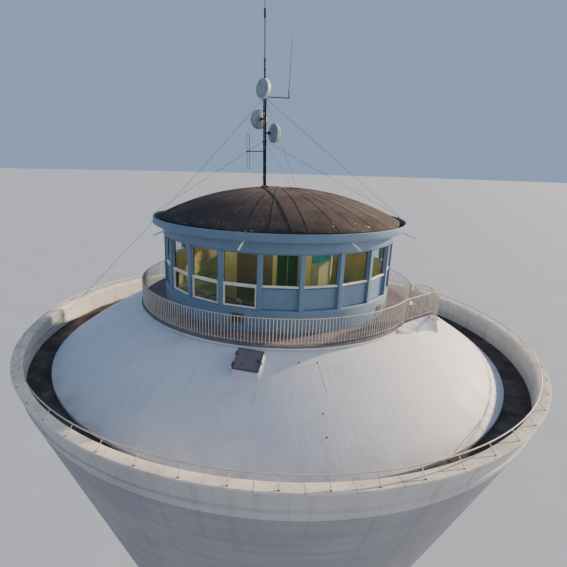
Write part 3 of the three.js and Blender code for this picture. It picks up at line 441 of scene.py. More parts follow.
def cover_look():
    look = Look("white_cover", (214, 215, 222), 0.62)
    look.blend_colour((192, 193, 203), look.between(look.streaks(5, 7, 0.8, True), 0.44, 0.74, 0, 0.4))
    look.blend_colour((184, 180, 178), look.between(look.streaks(5, 40, 1.6, True), 0.54, 0.78, 0, 0.3))
    look.patches((190, 186, 182), 1.4, 6, 0.54, 0.74, 0.5)
    look.patches((226, 223, 224), 3.2, 5, 0.58, 0.72, 0.5)
    edge = look.product(look.radius_fade(10.7, 11.5), look.spots(3, 5, 0.42, 0.68))
    look.blend_colour((158, 154, 152), look.product(edge, look.spots(9, 4, 0.3, 0.7, 0.6, 0.2)))
    look.gloss(look.noise(1.2, 3), 0.5, 0.75)
    look.relief((look.streaks(4, 60, 2.0, True), 0.003), (look.noise(30, 4), 0.0015))


def bitumen_look():
    look = Look("bitumen", (64, 54, 53), 0.85)
    look.patches((38, 32, 33), 1.4, 5, 0.45, 0.65, 0.8)
    look.patches((104, 98, 92), 2.6, 6, 0.56, 0.74, 0.75)
    look.patches((132, 124, 112), 11, 5, 0.64, 0.76, 0.6)
    look.gloss(look.spots(1.1, 4, 0.4, 0.6), 0.55, 0.95)
    look.relief((look.noise(8, 5), 0.004), (look.noise(90, 3), 0.0015))


def felt_look():
    look = Look("roof_felt", (76, 61, 59), 0.95)
    look.patches((48, 38, 42), 0.9, 5, 0.42, 0.62, 0.8)
    look.blend_colour((110, 92, 78), look.between(look.streaks(6, 16, 1.6, True), 0.54, 0.76, 0, 0.45))
    look.patches((118, 102, 86), 7.5, 6, 0.56, 0.76, 0.6, rough=0.7)
    look.patches((38, 31, 34), 2.2, 6, 0.54, 0.7, 0.7)
    edge = look.product(look.radius_fade(4.2, 6.0), look.spots(1.7, 4, 0.36, 0.6))
    look.blend_colour((34, 28, 32), look.product(edge, 0.85))
    top = look.product(look.radius_fade(3.2, 0.8), look.spots(1.4, 5, 0.42, 0.62))
    look.blend_colour((116, 98, 82), look.product(top, 0.5))
    lichen = look.product(look.radius_fade(4.6, 5.7), look.spots(1.6, 3, 0.45, 0.55))
    look.blend_colour((206, 198, 132), look.product(look.spots(13, 3, 0.67, 0.7), lichen))
    look.relief((look.noise(10, 5), 0.003), (look.noise(110, 3), 0.0012))


def blue_look():
    look = Look("blue_paint", (112, 138, 162), 0.55)
    look.patches((100, 125, 150), 1.4, 5, 0.45, 0.7, 0.5)
    look.blend_colour((92, 108, 126), look.between(look.streaks(4, 60, 0.5), 0.58, 0.8, 0, 0.3))
    look.patches((132, 154, 174), 5, 4, 0.56, 0.74, 0.4)
    look.gloss(look.noise(3, 3), 0.48, 0.66)
    look.relief((look.noise(24, 4), 0.0012))


def patched_look(name, colour, roughness, relief, *patches):
    """Matt look with patches; the relief is a noise's scale and detail, and a depth."""
    look = Look(name, colour, roughness)
    for patch in patches:
        look.patches(*patch)
    look.relief((look.noise(*relief[:2]), relief[2]))


concrete_look("concrete", (1.0, 1.0, 1.0))
# A darker, bluer copy of the concrete: painted shade for the cone and shaft, which face down and away from
# the light.
concrete_look("shaded_concrete", (0.81, 0.815, 0.85))
cover_look()
bitumen_look()
felt_look()
blue_look()
patched_look(
    "coping_stone", (222, 214, 202), 0.85, (60, 4, 0.002),
    ((186, 178, 170), 2.2, 6, 0.45, 0.68, 0.8),
    ((120, 112, 108), 14, 5, 0.62, 0.74, 0.7),
    ((238, 232, 224), 6, 3, 0.58, 0.7, 0.6),
)
patched_look(
    "white_paint", (236, 234, 228), 0.45, (40, 3, 0.0006),
    ((198, 196, 190), 5, 5, 0.5, 0.72, 0.6),
    ((150, 140, 128), 22, 4, 0.66, 0.78, 0.5),
)
patched_look(
    "deck_felt", (128, 117, 118), 0.88, (70, 4, 0.0015),
    ((98, 88, 96), 1.5, 5, 0.44, 0.66, 0.8),
    ((148, 134, 124), 4, 6, 0.56, 0.74, 0.5),
)
glass_look("window_glass", 0.12)
# The lower panes are less see-through, so more of the painted reflection shows on them.
glass_look("low_window_glass", 0.3)
metal_look("galvanised", (200, 192, 180), (166, 160, 152), (222, 214, 202), 0.6, 0.15)
# The olive-yellow lighter patches of the dark steel are painted highlights.
metal_look("dark_steel", (44, 41, 38), (24, 23, 24), (104, 98, 60), 0.75, 0.3)
metal_look("lid_grey", (108, 100, 108), (80, 74, 82), (132, 122, 126), 0.75, 0.0)
# Name, colour, second colour, roughness and scale of the pattern
PLAIN_LOOKS = (
    # The dark grey of the deck edge is partly its own colour and partly painted shade.
    ("deck_edge", (118, 113, 110), (86, 82, 84), 0.85, 5),
    ("weathered_steel", (112, 102, 94), (78, 70, 66), 0.75, 12),
    ("cable_black", (34, 34, 36), (58, 55, 50), 0.6, 12),
    ("lid_edge", (84, 78, 86), (62, 58, 64), 0.75, 10),
    ("tape", (172, 160, 154), (148, 136, 130), 0.7, 6),
    ("tan_streak", (190, 168, 150), (204, 190, 180), 0.8, 9),
    ("dish_grey", (150, 160, 172), (120, 130, 144), 0.5, 4),
    ("dish_white", (222, 222, 218), (180, 180, 176), 0.5, 6),
    ("lining_olive", (146, 138, 96), (112, 106, 74), 0.8, 2),
    ("plaster", (196, 182, 112), (168, 152, 88), 0.8, 2),
    ("brown_wall", (104, 88, 58), (72, 60, 40), 0.8, 3),
    ("plaster_teal", (28, 128, 134), (22, 100, 108), 0.75, 2),
    ("olive_wall", (136, 142, 104), (108, 116, 84), 0.6, 2),
    ("room_floor", (96, 108, 88), (74, 84, 66), 0.4, 2),
    ("ceiling", (176, 168, 140), (146, 140, 118), 0.85, 2),
    ("door_green", (0, 66, 0), (0, 50, 0), 0.9, 5),
    ("vent_brown", (138, 104, 82), (100, 72, 58), 0.8, 9),
    ("dark_wood", (64, 48, 38), (40, 30, 26), 0.5, 8),
    ("shadow_gap", (38, 36, 38), (24, 23, 25), 0.9, 10),
)
for row in PLAIN_LOOKS:
    plain_look(*row)

# Foundation, shaft and tank. A cutting block has nearly sharp edges.
CUT_EDGE = 0.0001
FOUNDATION_RADIUS = 9.5
FOUNDATION_DEPTH = 0.4
SILL_LEVEL = FOUNDATION_DEPTH - RIM_HEIGHT
FOOT_RADIUS = 6.0
NECK_RADIUS = 4.6
NECK_LEVEL = -24.67
CONE_FOOT_RADIUS = 5.66
CONE_FOOT_LEVEL = -19.3
SHAFT_WALL = 0.36
SHAFT_SIDES = 160
TANK_WALL = 0.43
LEDGE_RADIUS = 12.73
LEDGE_LEVEL = -0.95
PARAPET_FOOT_LEVEL = -1.35
RING_BEAM_RADIUS = 11.1
GUTTER_LEVEL = -1.15
JOINT = 0.003
POUR_HEIGHT = 1.5
DOOR_WIDTH = 1.3
DOOR_HEIGHT = 2.3


def shaft_radius(level):
    drop = (NECK_LEVEL - level) / (NECK_LEVEL + RIM_HEIGHT)
    return NECK_RADIUS + (FOOT_RADIUS - NECK_RADIUS) * drop**2


def neck_radius(level):
    rise = (level - NECK_LEVEL) / (CONE_FOOT_LEVEL - NECK_LEVEL)
    return NECK_RADIUS + (CONE_FOOT_RADIUS - NECK_RADIUS) * rise**2


def cone_radius(level):
    share = (level - CONE_FOOT_LEVEL) / (LEDGE_LEVEL - CONE_FOOT_LEVEL)
    return CONE_FOOT_RADIUS + (LEDGE_RADIUS - CONE_FOOT_RADIUS) * share


def grooved(bottom, top, radius_at):
    """Wall line with a small groove at each level between two pours."""
    groove, half = 0.012, 0.02
    levels = spread(bottom, top, round((top - bottom) / POUR_HEIGHT) + 1)
    line = [(radius_at(bottom), bottom)]
    for level in levels[1:-1]:
        for z, depth in ((level - half, 0), (level, groove), (level + half, 0)):
            line.append((radius_at(z) - depth, z))
    return line + [(radius_at(top), top)]


def make_foundation():
    """Round foundation whose inner edge follows the lean of the wall."""
    bevel = 0.06
    profile = [
        (FOOT_RADIUS + 2 * JOINT, -RIM_HEIGHT), (FOUNDATION_RADIUS, -RIM_HEIGHT),
        (FOUNDATION_RADIUS, SILL_LEVEL - bevel), (FOUNDATION_RADIUS - bevel, SILL_LEVEL),
        (shaft_radius(SILL_LEVEL) + 2 * JOINT, SILL_LEVEL),
    ]
    shape = Shape("foundation", "shaded_concrete").add(revolve(profile, sides=SHAFT_SIDES))
    shape.build("concrete", "foundation_ring")


def make_shaft():
    outside = grooved(-RIM_HEIGHT, NECK_LEVEL, shaft_radius)
    inside = [(shaft_radius(z) - SHAFT_WALL, z) for z in spread(NECK_LEVEL, -RIM_HEIGHT, 9)]
    points, faces = block(DOOR_WIDTH, 3.0, DOOR_HEIGHT, CUT_EDGE)
    place = at(FOOT_RADIUS, 0, SILL_LEVEL + DOOR_HEIGHT / 2)
    shape = Shape("shaft", "shaded_concrete").add(revolve(outside + inside, sides=SHAFT_SIDES))
    nodes = [f"shaft_wall_{i}" for i in (1, 2, 3, 4)]
    shape.build("concrete", *nodes, opening=([place @ p for p in points], faces))


def make_entrance():
    place = at(FOOT_RADIUS - SHAFT_WALL / 2, 0, SILL_LEVEL)
    shape = Shape("entrance_leaf", "door_green", "galvanised")
    leaf = (DOOR_WIDTH - 0.01, 0.06, DOOR_HEIGHT - 0.01)
    shape.box(leaf, 0.008, moved(place, 0, 0.01, DOOR_HEIGHT / 2))
    for level, height in ((0.62, 0.9), (1.68, 0.95)):
        for side in (-1, 1):
            shape.box((0.46, 0.03, height), 0.012, moved(place, side * 0.3, -0.025, level))
    handle = [(0.5, -0.04, 1.02), (0.5, -0.09, 1.04), (0.5, -0.09, 1.2), (0.5, -0.04, 1.22)]
    shape.rod([place @ Vector(p) for p in handle], 0.014, look=1)
    for level in (0.3, 1.15, 2.0):
        shape.rod([place @ Vector((-0.63, -0.03, level + z)) for z in (-0.07, 0.07)], 0.018, look=1)
    shape.build("door_green", "entrance_door")


# Tank, parapet, coping and the walk round the cover
PARAPET_INNER = 12.5
PARAPET_OUTER = 12.95
COPING_FOOT = -0.1
RIM_RADIUS = 13.0
RIM_INNER = 12.57
WALK_EDGE = 12.485
STONES = 57
FIRST_STONE = 1.5
STAY_AZIMUTH = -58
FELT_SHEETS = 44
RAIL_RADIUS = 12.63
RAIL_LEVEL = 0.29
RAIL_FOOT_RADIUS = 12.9


def make_tank():
    neck = [(neck_radius(z), z) for z in spread(NECK_LEVEL, CONE_FOOT_LEVEL, 14)]
    neck[0] = (neck[0][0], NECK_LEVEL + JOINT)
    wall = grooved(CONE_FOOT_LEVEL, PARAPET_FOOT_LEVEL, cone_radius)
    haunch = PARAPET_FOOT_LEVEL - 1.2
    head = [
        (RING_BEAM_RADIUS, PARAPET_FOOT_LEVEL),
        (RING_BEAM_RADIUS, PARAPET_FOOT_LEVEL - 0.5),
        (cone_radius(haunch) - TANK_WALL, haunch),
    ]
    inside = [(r - TANK_WALL, z) for r, z in reversed(neck)]
    shape = Shape("tank", "shaded_concrete").add(revolve(neck + wall[1:] + head + inside))
    shape.build("concrete", "tank_wall")


def make_parapet():
    profile = [
        (PARAPET_INNER, PARAPET_FOOT_LEVEL + JOINT),
        (cone_radius(PARAPET_FOOT_LEVEL), PARAPET_FOOT_LEVEL + JOINT),
        (LEDGE_RADIUS, LEDGE_LEVEL),
        (LEDGE_RADIUS - 0.06, LEDGE_LEVEL + 0.05),
        (PARAPET_OUTER, COPING_FOOT - JOINT),
        (PARAPET_INNER + 0.02, COPING_FOOT - JOINT),
    ]
    shape = Shape("parapet", "concrete").add(revolve(eased(profile, 0.012)))
    sides = ("front", "right_near", "right", "right_far", "back", "left")
    shape.build("concrete", *(f"parapet_{side}" for side in sides))


def make_coping():
    """Coping stones with a fine joint halfway between the rail posts, and the stay's eye plate."""
    shape = Shape("coping_stones", "coping_stone", "shadow_gap", "galvanised")
    profile = eased([(12.52, COPING_FOOT), (12.97, COPING_FOOT), (RIM_RADIUS, 0.0), (RIM_INNER, 0.0)], 0.018)
    pitch = 360 / STONES
    joint = 0.035
    dice = random.Random(3)
    for i in range(STONES):
        start = FIRST_STONE + (i + 0.5) * pitch
        drop = dice.uniform(0.0, 0.004)
        shape.add(revolve([(r, z - drop) for r, z in profile], start + joint, start + pitch - joint))
    shape.add(revolve([(12.54, COPING_FOOT), (12.95, COPING_FOOT), (12.97, -0.012), (12.59, -0.012)]), 1)
    shape.box((0.12, 0.12, 0.06), 0.012, at((RIM_INNER + RIM_RADIUS) / 2, STAY_AZIMUTH, 0.02), 2)
    shape.build("coping_stone", "coping")


def make_gutter():
    """Felt sheets laid across the walk, each lapping over the next, with a fillet at the parapet."""
    shape = Shape("gutter_felt", "bitumen")
    pitch = 360 / FELT_SHEETS
    steps = 8
    dice = random.Random(7)
    bed = (PARAPET_FOOT_LEVEL + JOINT, GUTTER_LEVEL - 0.02)
    shape.add(revolve(band(RING_BEAM_RADIUS, WALK_EDGE + 0.005, *bed)))
    for i in range(FELT_SHEETS):
        start = i * pitch + dice.uniform(-0.5, 0.5)
        rings = []
        for k in range(steps + 1):
            lap = 0.012 * (1 - k / steps)
            wave = 0.004 * math.sin(k * 1.7 + i)
            top = GUTTER_LEVEL - 0.012 + lap + wave
            section = [
                (RING_BEAM_RADIUS + 0.05, GUTTER_LEVEL - 0.05), (WALK_EDGE, GUTTER_LEVEL - 0.05),
                (WALK_EDGE, GUTTER_LEVEL + 0.07), (WALK_EDGE - 0.015, GUTTER_LEVEL + 0.07),
                (WALK_EDGE - 0.045, top + 0.02), (WALK_EDGE - 0.105, top), (11.9, top - 0.006), (11.4, top),
            ]
            rings.append([polar(r, start + (pitch + 0.6) * k / steps, z) for r, z in section])
        shape.add(loft(rings))
    shape.build("bitumen", "gutter_floor", sharp=25)


def make_safety_rail():
    """Low rail on leaning posts with foot plates along the coping."""
    shape = Shape("safety_rail", "galvanised", "weathered_steel")
    rail = [polar(RAIL_RADIUS, 2 * i, RAIL_LEVEL) for i in range(180)]
    shape.add(tube(rail, 0.022, wrap=True))
    for i in range(STONES):
        azimuth = FIRST_STONE + i * 360 / STONES
        foot = polar(RAIL_FOOT_RADIUS, azimuth, 0.005)
        shape.rod([foot, polar(RAIL_RADIUS - 0.01, azimuth, RAIL_LEVEL - 0.005)], 0.016, 6)
        shape.box((0.07, 0.06, 0.008), 0.003, at(RAIL_FOOT_RADIUS, azimuth, 0.004), 1)
        for side in (-0.11, 0.11):
            shape.rod([polar(RAIL_FOOT_RADIUS, azimuth + side, z) for z in (0.0, 0.018)], 0.006, 6, 1)
    shape.build("galvanised", "parapet_rail")


# Domed cover with the hatch
DOME_EDGE = Vector((11.46, -1.02))
DOME_BULGE = Vector((9.545, 0.407))
DOME_TOP = Vector((7.35, 1.35))
DECK_LEVEL = 1.67
DECK_THICKNESS = 0.2
DECK_RADIUS = 7.12
DECK_UNDERSIDE = DECK_LEVEL - DECK_THICKNESS
HATCH = (
    at(7.98, -6.4, 1.37)
    @ Matrix.Rotation(math.radians(25.5), 4, "X")
    @ Matrix.Rotation(math.radians(-4.5), 4, "Z")
)
# Radius and azimuth of the tape on the right side of the cover, and of its short cross strips
TAPE = (
    (11.42, 34.4), (11.37, 35.8), (11.28, 38.5), (11.22, 41.4), (11.17, 45), (11.1, 49.8), (11.03, 54),
    (10.95, 59.5), (10.9, 65), (10.88, 71), (10.9, 76), (10.97, 80.5), (11.06, 85),
)
CROSS_STRIPS = ((11.17, 44.8), (11.04, 53.8), (10.92, 61.5))
ANCHORS = ((7.67, 13.2), (7.65, 7.8), (9.58, 11.1), (10.3, 10.8))
STREAK_END = 8.92
HATCH_HOLE = 0.8


def dome_point(share):
    return DOME_EDGE * (1 - share) ** 2 + DOME_BULGE * (2 * share * (1 - share)) + DOME_TOP * share**2


def dome_level(radius):
    """Level of the cover's outer face at a radius."""
    low, high = 0.0, 1.0
    for _ in range(30):
        middle = (low + high) / 2
        if dome_point(middle).x > radius:
            low = middle
        else:
            high = middle
    return dome_point(low).y


def make_dome():
    slope = [tuple(dome_point(share)) for share in spread(0.0, 1.0, 29)]
    profile = [
        (DOME_EDGE.x, GUTTER_LEVEL + JOINT), (DOME_EDGE.x, -1.06), *slope,
        (7.24, 1.388), (7.14, 1.418), (7.06, 1.447), (7.0, DECK_UNDERSIDE - JOINT),
        (6.75, DECK_UNDERSIDE - JOINT), (6.75, DECK_UNDERSIDE - 0.25), (9.3, 0.12),
        (RING_BEAM_RADIUS + 0.05, GUTTER_LEVEL + JOINT),
    ]
    points, faces = block(HATCH_HOLE, HATCH_HOLE, 2.5, CUT_EDGE)
    place = moved(HATCH, z=-0.75)
    shape = Shape("dome_skin", "white_cover").add(revolve(profile))
    nodes = [f"dome_cover_{side}" for side in ("front", "right", "back", "left")]
    shape.build("white_cover", *nodes, opening=([place @ p for p in points], faces))


def dome_strip(places, half, rise=0.006):
    """Thin strip that lies on the cover along places of radius and azimuth."""
    middle = [polar(radius, azimuth, dome_level(radius)) for radius, azimuth in places]
    last = len(middle) - 1
    ways = [middle[min(i + 1, last)] - middle[max(i - 1, 0)] for i in range(len(middle))]
    section = ((-half, -0.01), (-half, rise), (half, rise), (half, -0.01))
    return laid_strip(dome_level, middle, [way.cross(UP).normalized() for way in ways], section)


def make_dome_tape():
    """Sealing tape on the cover with short cross strips, and small anchors with one stain below them."""
    shape = Shape("dome_tape", "tape", "tan_streak")
    shape.add(dome_strip(TAPE, 0.02))
    for radius, azimuth in CROSS_STRIPS:
        shape.add(dome_strip([(radius + reach, azimuth) for reach in spread(0.0, 0.24, 5)], 0.018))
    start, azimuth = ANCHORS[0]
    shape.add(dome_strip([(radius, azimuth) for radius in spread(start, STREAK_END, 12)], 0.012, 0.003), 1)
    shape.build("white_cover")
    anchors = Shape("dome_anchors", "dark_steel")
    for radius, azimuth in ANCHORS:
        foot = polar(radius, azimuth, dome_level(radius))
        anchors.turned(foot, [(0.03, -0.02), (0.03, 0.01), (0.018, 0.018)])
        anchors.turned(foot, [(0.009, 0.0), (0.009, 0.045), (0.005, 0.05)])
    anchors.build("dark_steel")


HINGE_X = -0.54
HINGE_Z = 0.036
HINGE_PLACES = (0.28, -0.28)
EAR_OFFSET = 0.074


def hatch_rod(x, z, middle, half):
    return [HATCH @ Vector((x, middle + side * half, z)) for side in (-1, 1)]


def make_hatch():
    """Kerb with its skirt and hinge ears, the lid with its barrels, the handle and the catch."""
    kerb = Shape("hatch_frame", "white_cover", "dark_steel")
    profile = [
        (0.4, -0.62), (0.49, -0.62), (0.49, -0.1), (0.482, -0.008),
        (0.474, 0.0), (0.41, 0.0), (0.402, -0.01),
    ]
    kerb.add(square_ring(profile, 0.012), 0, HATCH)
    skirt = [(0.47, -0.7), (0.62, -0.56), (0.575, -0.3), (0.515, -0.1), (0.495, -0.06), (0.48, -0.1)]
    kerb.add(square_ring(skirt, 0.05), 0, HATCH)
    for place in HINGE_PLACES:
        kerb.box((0.09, 0.168, 0.04), 0.006, moved(HATCH, -0.52, place, -0.042), 1)
        for side in (-1, 1):
            ear = place + side * EAR_OFFSET
            kerb.box((0.044, 0.02, 0.07), 0.004, moved(HATCH, HINGE_X, ear), 1)
            kerb.rod(hatch_rod(HINGE_X, HINGE_Z, ear, side * 0.01), 0.025, 16, 1)
        kerb.rod(hatch_rod(HINGE_X, HINGE_Z, place, 0.084), 0.012, 16, 1)
    kerb.build("white_paint", "hatch_kerb")

    lid = Shape("hatch_plate", "lid_grey", "lid_edge")
    border = [
        (0.51, 0.019), (0.51, 0.053), (0.502, 0.061), (0.462, 0.061),
        (0.456, 0.056), (0.4, 0.0555), (0.4, 0.019),
    ]
    lid.add(square_ring(border, 0.012), 1, HATCH)
    lid.box((0.94, 0.94, 0.046), 0.004, moved(HATCH, z=0.034))
    for place in HINGE_PLACES:
        lid.box((0.05, 0.12, 0.03), 0.003, moved(HATCH, -0.512, place, HINGE_Z), 1)
        lid.box((0.1, 0.08, 0.008), 0.003, moved(HATCH, -0.46, place, 0.0625), 1)
        barrel = moved(HATCH, HINGE_X, place, HINGE_Z) @ Matrix.Rotation(math.pi / 2, 4, "X")
        lid.add(revolve(band(0.0135, 0.025, -0.06, 0.06), sides=20), 1, barrel)
    lid.build("lid_grey", "hatch_lid", body="hatch_lid_body")

    grip = Shape("hatch_grip", "dark_steel")
    oval = [(0.036 * math.cos(t), 0.075 * math.sin(t)) for t in (2 * math.pi * i / 32 for i in range(32))]
    grip.add(prism(oval, 0.0616, 0.071, 0.003), 0, moved(HATCH, 0.4))
    bend = ((-0.06, 0.066), (-0.058, 0.1), (-0.045, 0.108), (0.045, 0.108), (0.058, 0.1), (0.06, 0.066))
    grip.rod([HATCH @ Vector((0.4, y, z)) for y, z in bend], 0.01, 10)
    grip.build("dark_steel", "hatch_handle", body="hatch_lid_body")

    catch = Shape("hatch_latch", "dark_steel")
    catch.box((0.038, 0.09, 0.078), 0.006, moved(HATCH, 0.511, 0, -0.051))
    catch.rod(hatch_rod(0.525, -0.03, 0.0, 0.06), 0.008)
    catch.build("dark_steel", "hatch_catch")


# Deck, balcony and railings. The mouth of the balcony is a gap between two azimuths of the railing.
# The outlines and the ends of the railings are plan points.
RAILING_RADIUS = 7.05
RAIL_TOP = DECK_LEVEL + 1.11
BAR_SPACING = 0.141
BAR_RADIUS = 0.016
MOUTH = (57, 79.5)
BALCONY = [
    (5.787, -4.09), (7.5, -2.615), (7.829, -2.615), (7.89, -1.56),
    (7.55, -0.99), (7.24, -0.96), (6.85, -1.2),
]
BALCONY_FOOT = -0.1
TONGUE = [(7.5, -2.62), (7.5, -3.12), (7.8, -3.12), (7.828, -2.62)]
TONGUE_THICKNESS = 0.08
APRON_EDGE = ((5.5, -4.5), (5.787, -4.09), (7.5, -2.615), (7.829, -2.6))
APRON_FOOT = ((5.53, -4.54), (6.02, -4.37), (7.6, -2.92), (7.96, -2.82))
NEAR_END, STUB_END, NEAR_CORNER, BRANCH = (5.936, -3.804), (7.56, -3.05), (7.7, -3.02), (7.73, -2.26)
FAR_CORNER, FAR_BEND, FAR_END = (7.8, -1.58), (7.5, -1.06), (7.16, -1.1)
INNER_FAR, INNER_NEAR = (7.05, -1.45), (7.02, -2.7)


def make_deck():
    """Round slab with a white ring under its rim, and the balcony that runs out over the cover."""
    deck = Shape("deck_floor", "deck_edge", "deck_felt", "white_cover")
    rim_foot, rim_top = DECK_LEVEL - 0.11, DECK_LEVEL - 0.015
    inner, core = 6.8, 7.025
    # The rim's dark grey is partly painted shade.
    deck.add(revolve(eased(band(inner, DECK_RADIUS, rim_foot, rim_top), 0.012)))
    deck.add(revolve(band(inner, DECK_RADIUS - 0.015, DECK_UNDERSIDE, rim_foot)), 2)
    felt_edge = DECK_LEVEL - 0.008
    deck.add(stack([(core, rim_foot), (core, felt_edge), (core - 0.01, DECK_LEVEL - 0.001)]), 1)
    deck.build("concrete", "deck_slab")

    sheet = Shape("balcony_floor", "white_cover", "deck_felt")
    near, far = (math.degrees(math.atan2(x, -y)) for x, y in (BALCONY[0], BALCONY[-1]))
    arc = [polar(DECK_RADIUS + 0.004, a) for a in spread(81.0, 53.5, 16) if near < a < far]
    outline = BALCONY + [tuple(place.xy) for place in arc]
    sheet.add(prism(outline, BALCONY_FOOT, DECK_LEVEL - 0.001, 0.02))
    # The last face of the prism is its top, which is covered with felt
    sheet.looks[-1] = 1
    sheet.add(prism(TONGUE, DECK_LEVEL - TONGUE_THICKNESS, DECK_LEVEL - 0.002, 0.012))
    sheet.build("concrete", "balcony_platform")


def make_apron():
    """Sloped sheet from the near edge of the balcony down to the cover."""
    sunk = 0.04
    rings = []
    for edge, foot in zip(APRON_EDGE, APRON_FOOT):
        ground, under = dome_level(Vector(foot).length), dome_level(Vector(edge).length)
        rings.append([
            Vector((*edge, DECK_LEVEL - 0.015)),
            Vector((*foot, ground + 0.012)),
            Vector((*foot, ground - sunk)),
            Vector((*edge, under - sunk)),
        ])
    Shape("balcony_apron", "white_cover").add(loft(rings)).build("white_cover", sharp=75)


def railing_post(shape, x, y):
    foot = Vector((x, y, DECK_LEVEL + 0.004))
    shape.rod([foot, (x, y, RAIL_TOP - 0.02)], 0.018)
    shape.turned(foot, [(0.04, -0.001), (0.04, 0.006), (0.025, 0.01)], 12)


def railing_bar(shape, x, y):
    shape.rod([(x, y, DECK_LEVEL + 0.03), (x, y, RAIL_TOP - 0.03)], BAR_RADIUS, 6)


def railing_rails(shape, path, lower_radius):
    for level, radius in ((RAIL_TOP - 0.02, 0.02), (DECK_LEVEL + 0.1, lower_radius)):
        shape.rod([(x, y, level) for x, y in path], radius)


def railing_run(shape, *places):
    for start, end in zip(places, places[1:]):
        railing_rails(shape, [start, end], 0.014)
        start, end = Vector(start), Vector(end)
        count = round((end - start).length / BAR_SPACING)
        for i in range(1, count):
            railing_bar(shape, *start.lerp(end, i / count))
        railing_post(shape, *start)
    railing_post(shape, *places[-1])


def make_railings():
    shape = Shape("deck_railing_bars", "galvanised")
    path = [polar(RAILING_RADIUS, a).xy for a in spread(MOUTH[1], MOUTH[0] + 360, 180)]
    railing_rails(shape, path, 0.01)
    count = round(2 * math.pi * RAILING_RADIUS / BAR_SPACING)
    for azimuth in spread(0, 360, count + 1)[:-1]:
        if not MOUTH[0] < azimuth < MOUTH[1]:
            railing_bar(shape, *polar(RAILING_RADIUS, azimuth).xy)
    for azimuth in (MOUTH[0] - 0.3, MOUTH[1] + 0.3):
        railing_post(shape, *polar(RAILING_RADIUS, azimuth).xy)
    shape.build("galvanised", "deck_railing")

    outer = Shape("balcony_railing_bars", "galvanised")
    railing_run(outer, NEAR_END, BRANCH)
    railing_run(outer, STUB_END, NEAR_CORNER, BRANCH, FAR_CORNER, FAR_BEND, FAR_END)
    outer.build("galvanised", "balcony_railing")
    inner = Shape("balcony_inner_bars", "galvanised")
    railing_run(inner, INNER_FAR, INNER_NEAR)
    inner.build("galvanised", "balcony_inner_railing")


# Glazed room
BAYS = 21
BAY_ANGLE = 360 / BAYS
BAY_START = -6.3
LOW_GLAZED = 3
ROOM_RADIUS = 5.87
ROOM_INNER_RADIUS = 5.57
BASE_TOP = 2.65
SILL_BOTTOM, SILL_TOP = 3.58, 3.7
HEAD_BOTTOM, HEAD_TOP = 5.0, 5.08
BAND_TOP = 5.62
BAND_RADIUS = 5.95
EAVE_RADIUS = 6.42
EAVE_TOP = 5.95
EAVE_FLOOR = 5.72
GLASS_RADIUS = 5.675
BAY_COSINE = math.cos(math.pi / BAYS)
MULLION_OUTER = 5.89
MULLION_INNER = 5.68
MULLION_WIDTH = 0.24
FRAME_RADIUS = 5.83
FRAME_FACE = FRAME_RADIUS * BAY_COSINE
SASH_BAR = 0.065
SPOUT_START = -12
STAY_EYES = (-90, 94, 166)
STRAP_START = 17
STRAPS = 9


def bay_width(radius):
    return 2 * radius * math.sin(math.pi / BAYS)


def make_room_walls():
    inner, foot = ROOM_INNER_RADIUS, DECK_LEVEL + JOINT
    plinth = [
        (inner, foot), (ROOM_RADIUS, foot), (ROOM_RADIUS, BASE_TOP - 0.04),
        (ROOM_RADIUS - 0.02, BASE_TOP), (inner, BASE_TOP),
    ]
    head = [
        (inner, HEAD_TOP + JOINT), (BAND_RADIUS - 0.02, HEAD_TOP + JOINT), (BAND_RADIUS, HEAD_TOP + 0.03),
        (BAND_RADIUS, BAND_TOP), (inner, BAND_TOP),
    ]
    for name, profile, node in (("room_plinth", plinth, "room_base_wall"), ("head_band", head, "upper_band")):
        Shape(name, "blue_paint").add(revolve(eased(profile, 0.008))).build("blue_paint", node)


def make_windows():
    """Blue mullions and rails, white sills and the white sashes of the low windows."""
    blue = Shape("mullions", "blue_paint")
    depth = MULLION_OUTER - MULLION_INNER
    height = HEAD_TOP - BASE_TOP - 2 * JOINT
    for bay in range(BAYS):
        place = at(MULLION_OUTER - depth / 2, BAY_START + bay * BAY_ANGLE, (HEAD_TOP + BASE_TOP) / 2)
        blue.box((MULLION_WIDTH - 0.05, depth, height), 0.012, place)
        for side in (-1, 1):
            edge = moved(place, side * (MULLION_WIDTH / 2 - 0.015), 0.04)
            blue.box((0.03, depth - 0.08, height), 0.006, edge)
    white = Shape("sills", "white_paint", "shadow_gap")
    width = bay_width(FRAME_RADIUS) - MULLION_WIDTH + 0.01
    for bay in range(BAYS):
        azimuth = BAY_START + (bay + 0.5) * BAY_ANGLE
        head = at(FRAME_FACE - 0.075, azimuth, (HEAD_TOP + HEAD_BOTTOM) / 2)
        blue.box((width + 0.02, 0.15, HEAD_TOP - HEAD_BOTTOM), 0.008, head)
        white.box((width, 0.13, 0.07), 0.012, at(FRAME_FACE - 0.05, azimuth, SILL_TOP - 0.035))
        blue.box((width, 0.12, 0.05), 0.008, at(FRAME_FACE - 0.085, azimuth, SILL_BOTTOM + 0.025))
        middle = at(FRAME_FACE - 0.13, azimuth, (SILL_TOP + HEAD_BOTTOM) / 2)
        for side in (-1, 1):
            jamb = moved(middle, side * (width / 2 - 0.018))
            white.box((0.03, 0.05, HEAD_BOTTOM - SILL_TOP), 0.006, jamb, 1)
        if bay >= BAYS - LOW_GLAZED:
            add_sash(white, azimuth, width, BASE_TOP + 0.02, SILL_BOTTOM + 0.06)
    blue.build("blue_paint", "window_frame")
    white.build("white_paint")


def add_sash(shape, azimuth, width, bottom, top):
    """White frame of a low window."""
    radius = FRAME_FACE - 0.055
    for level in (bottom + SASH_BAR / 2, top - SASH_BAR / 2):
        shape.box((width - 0.02, 0.09, SASH_BAR), 0.01, at(radius, azimuth, level))
    for side in (-1, 1):
        place = moved(at(radius, azimuth, (bottom + top) / 2), side * (width / 2 - 0.01 - SASH_BAR / 2))
        shape.box((SASH_BAR, 0.09, top - bottom - 2 * SASH_BAR + 0.01), 0.01, place)


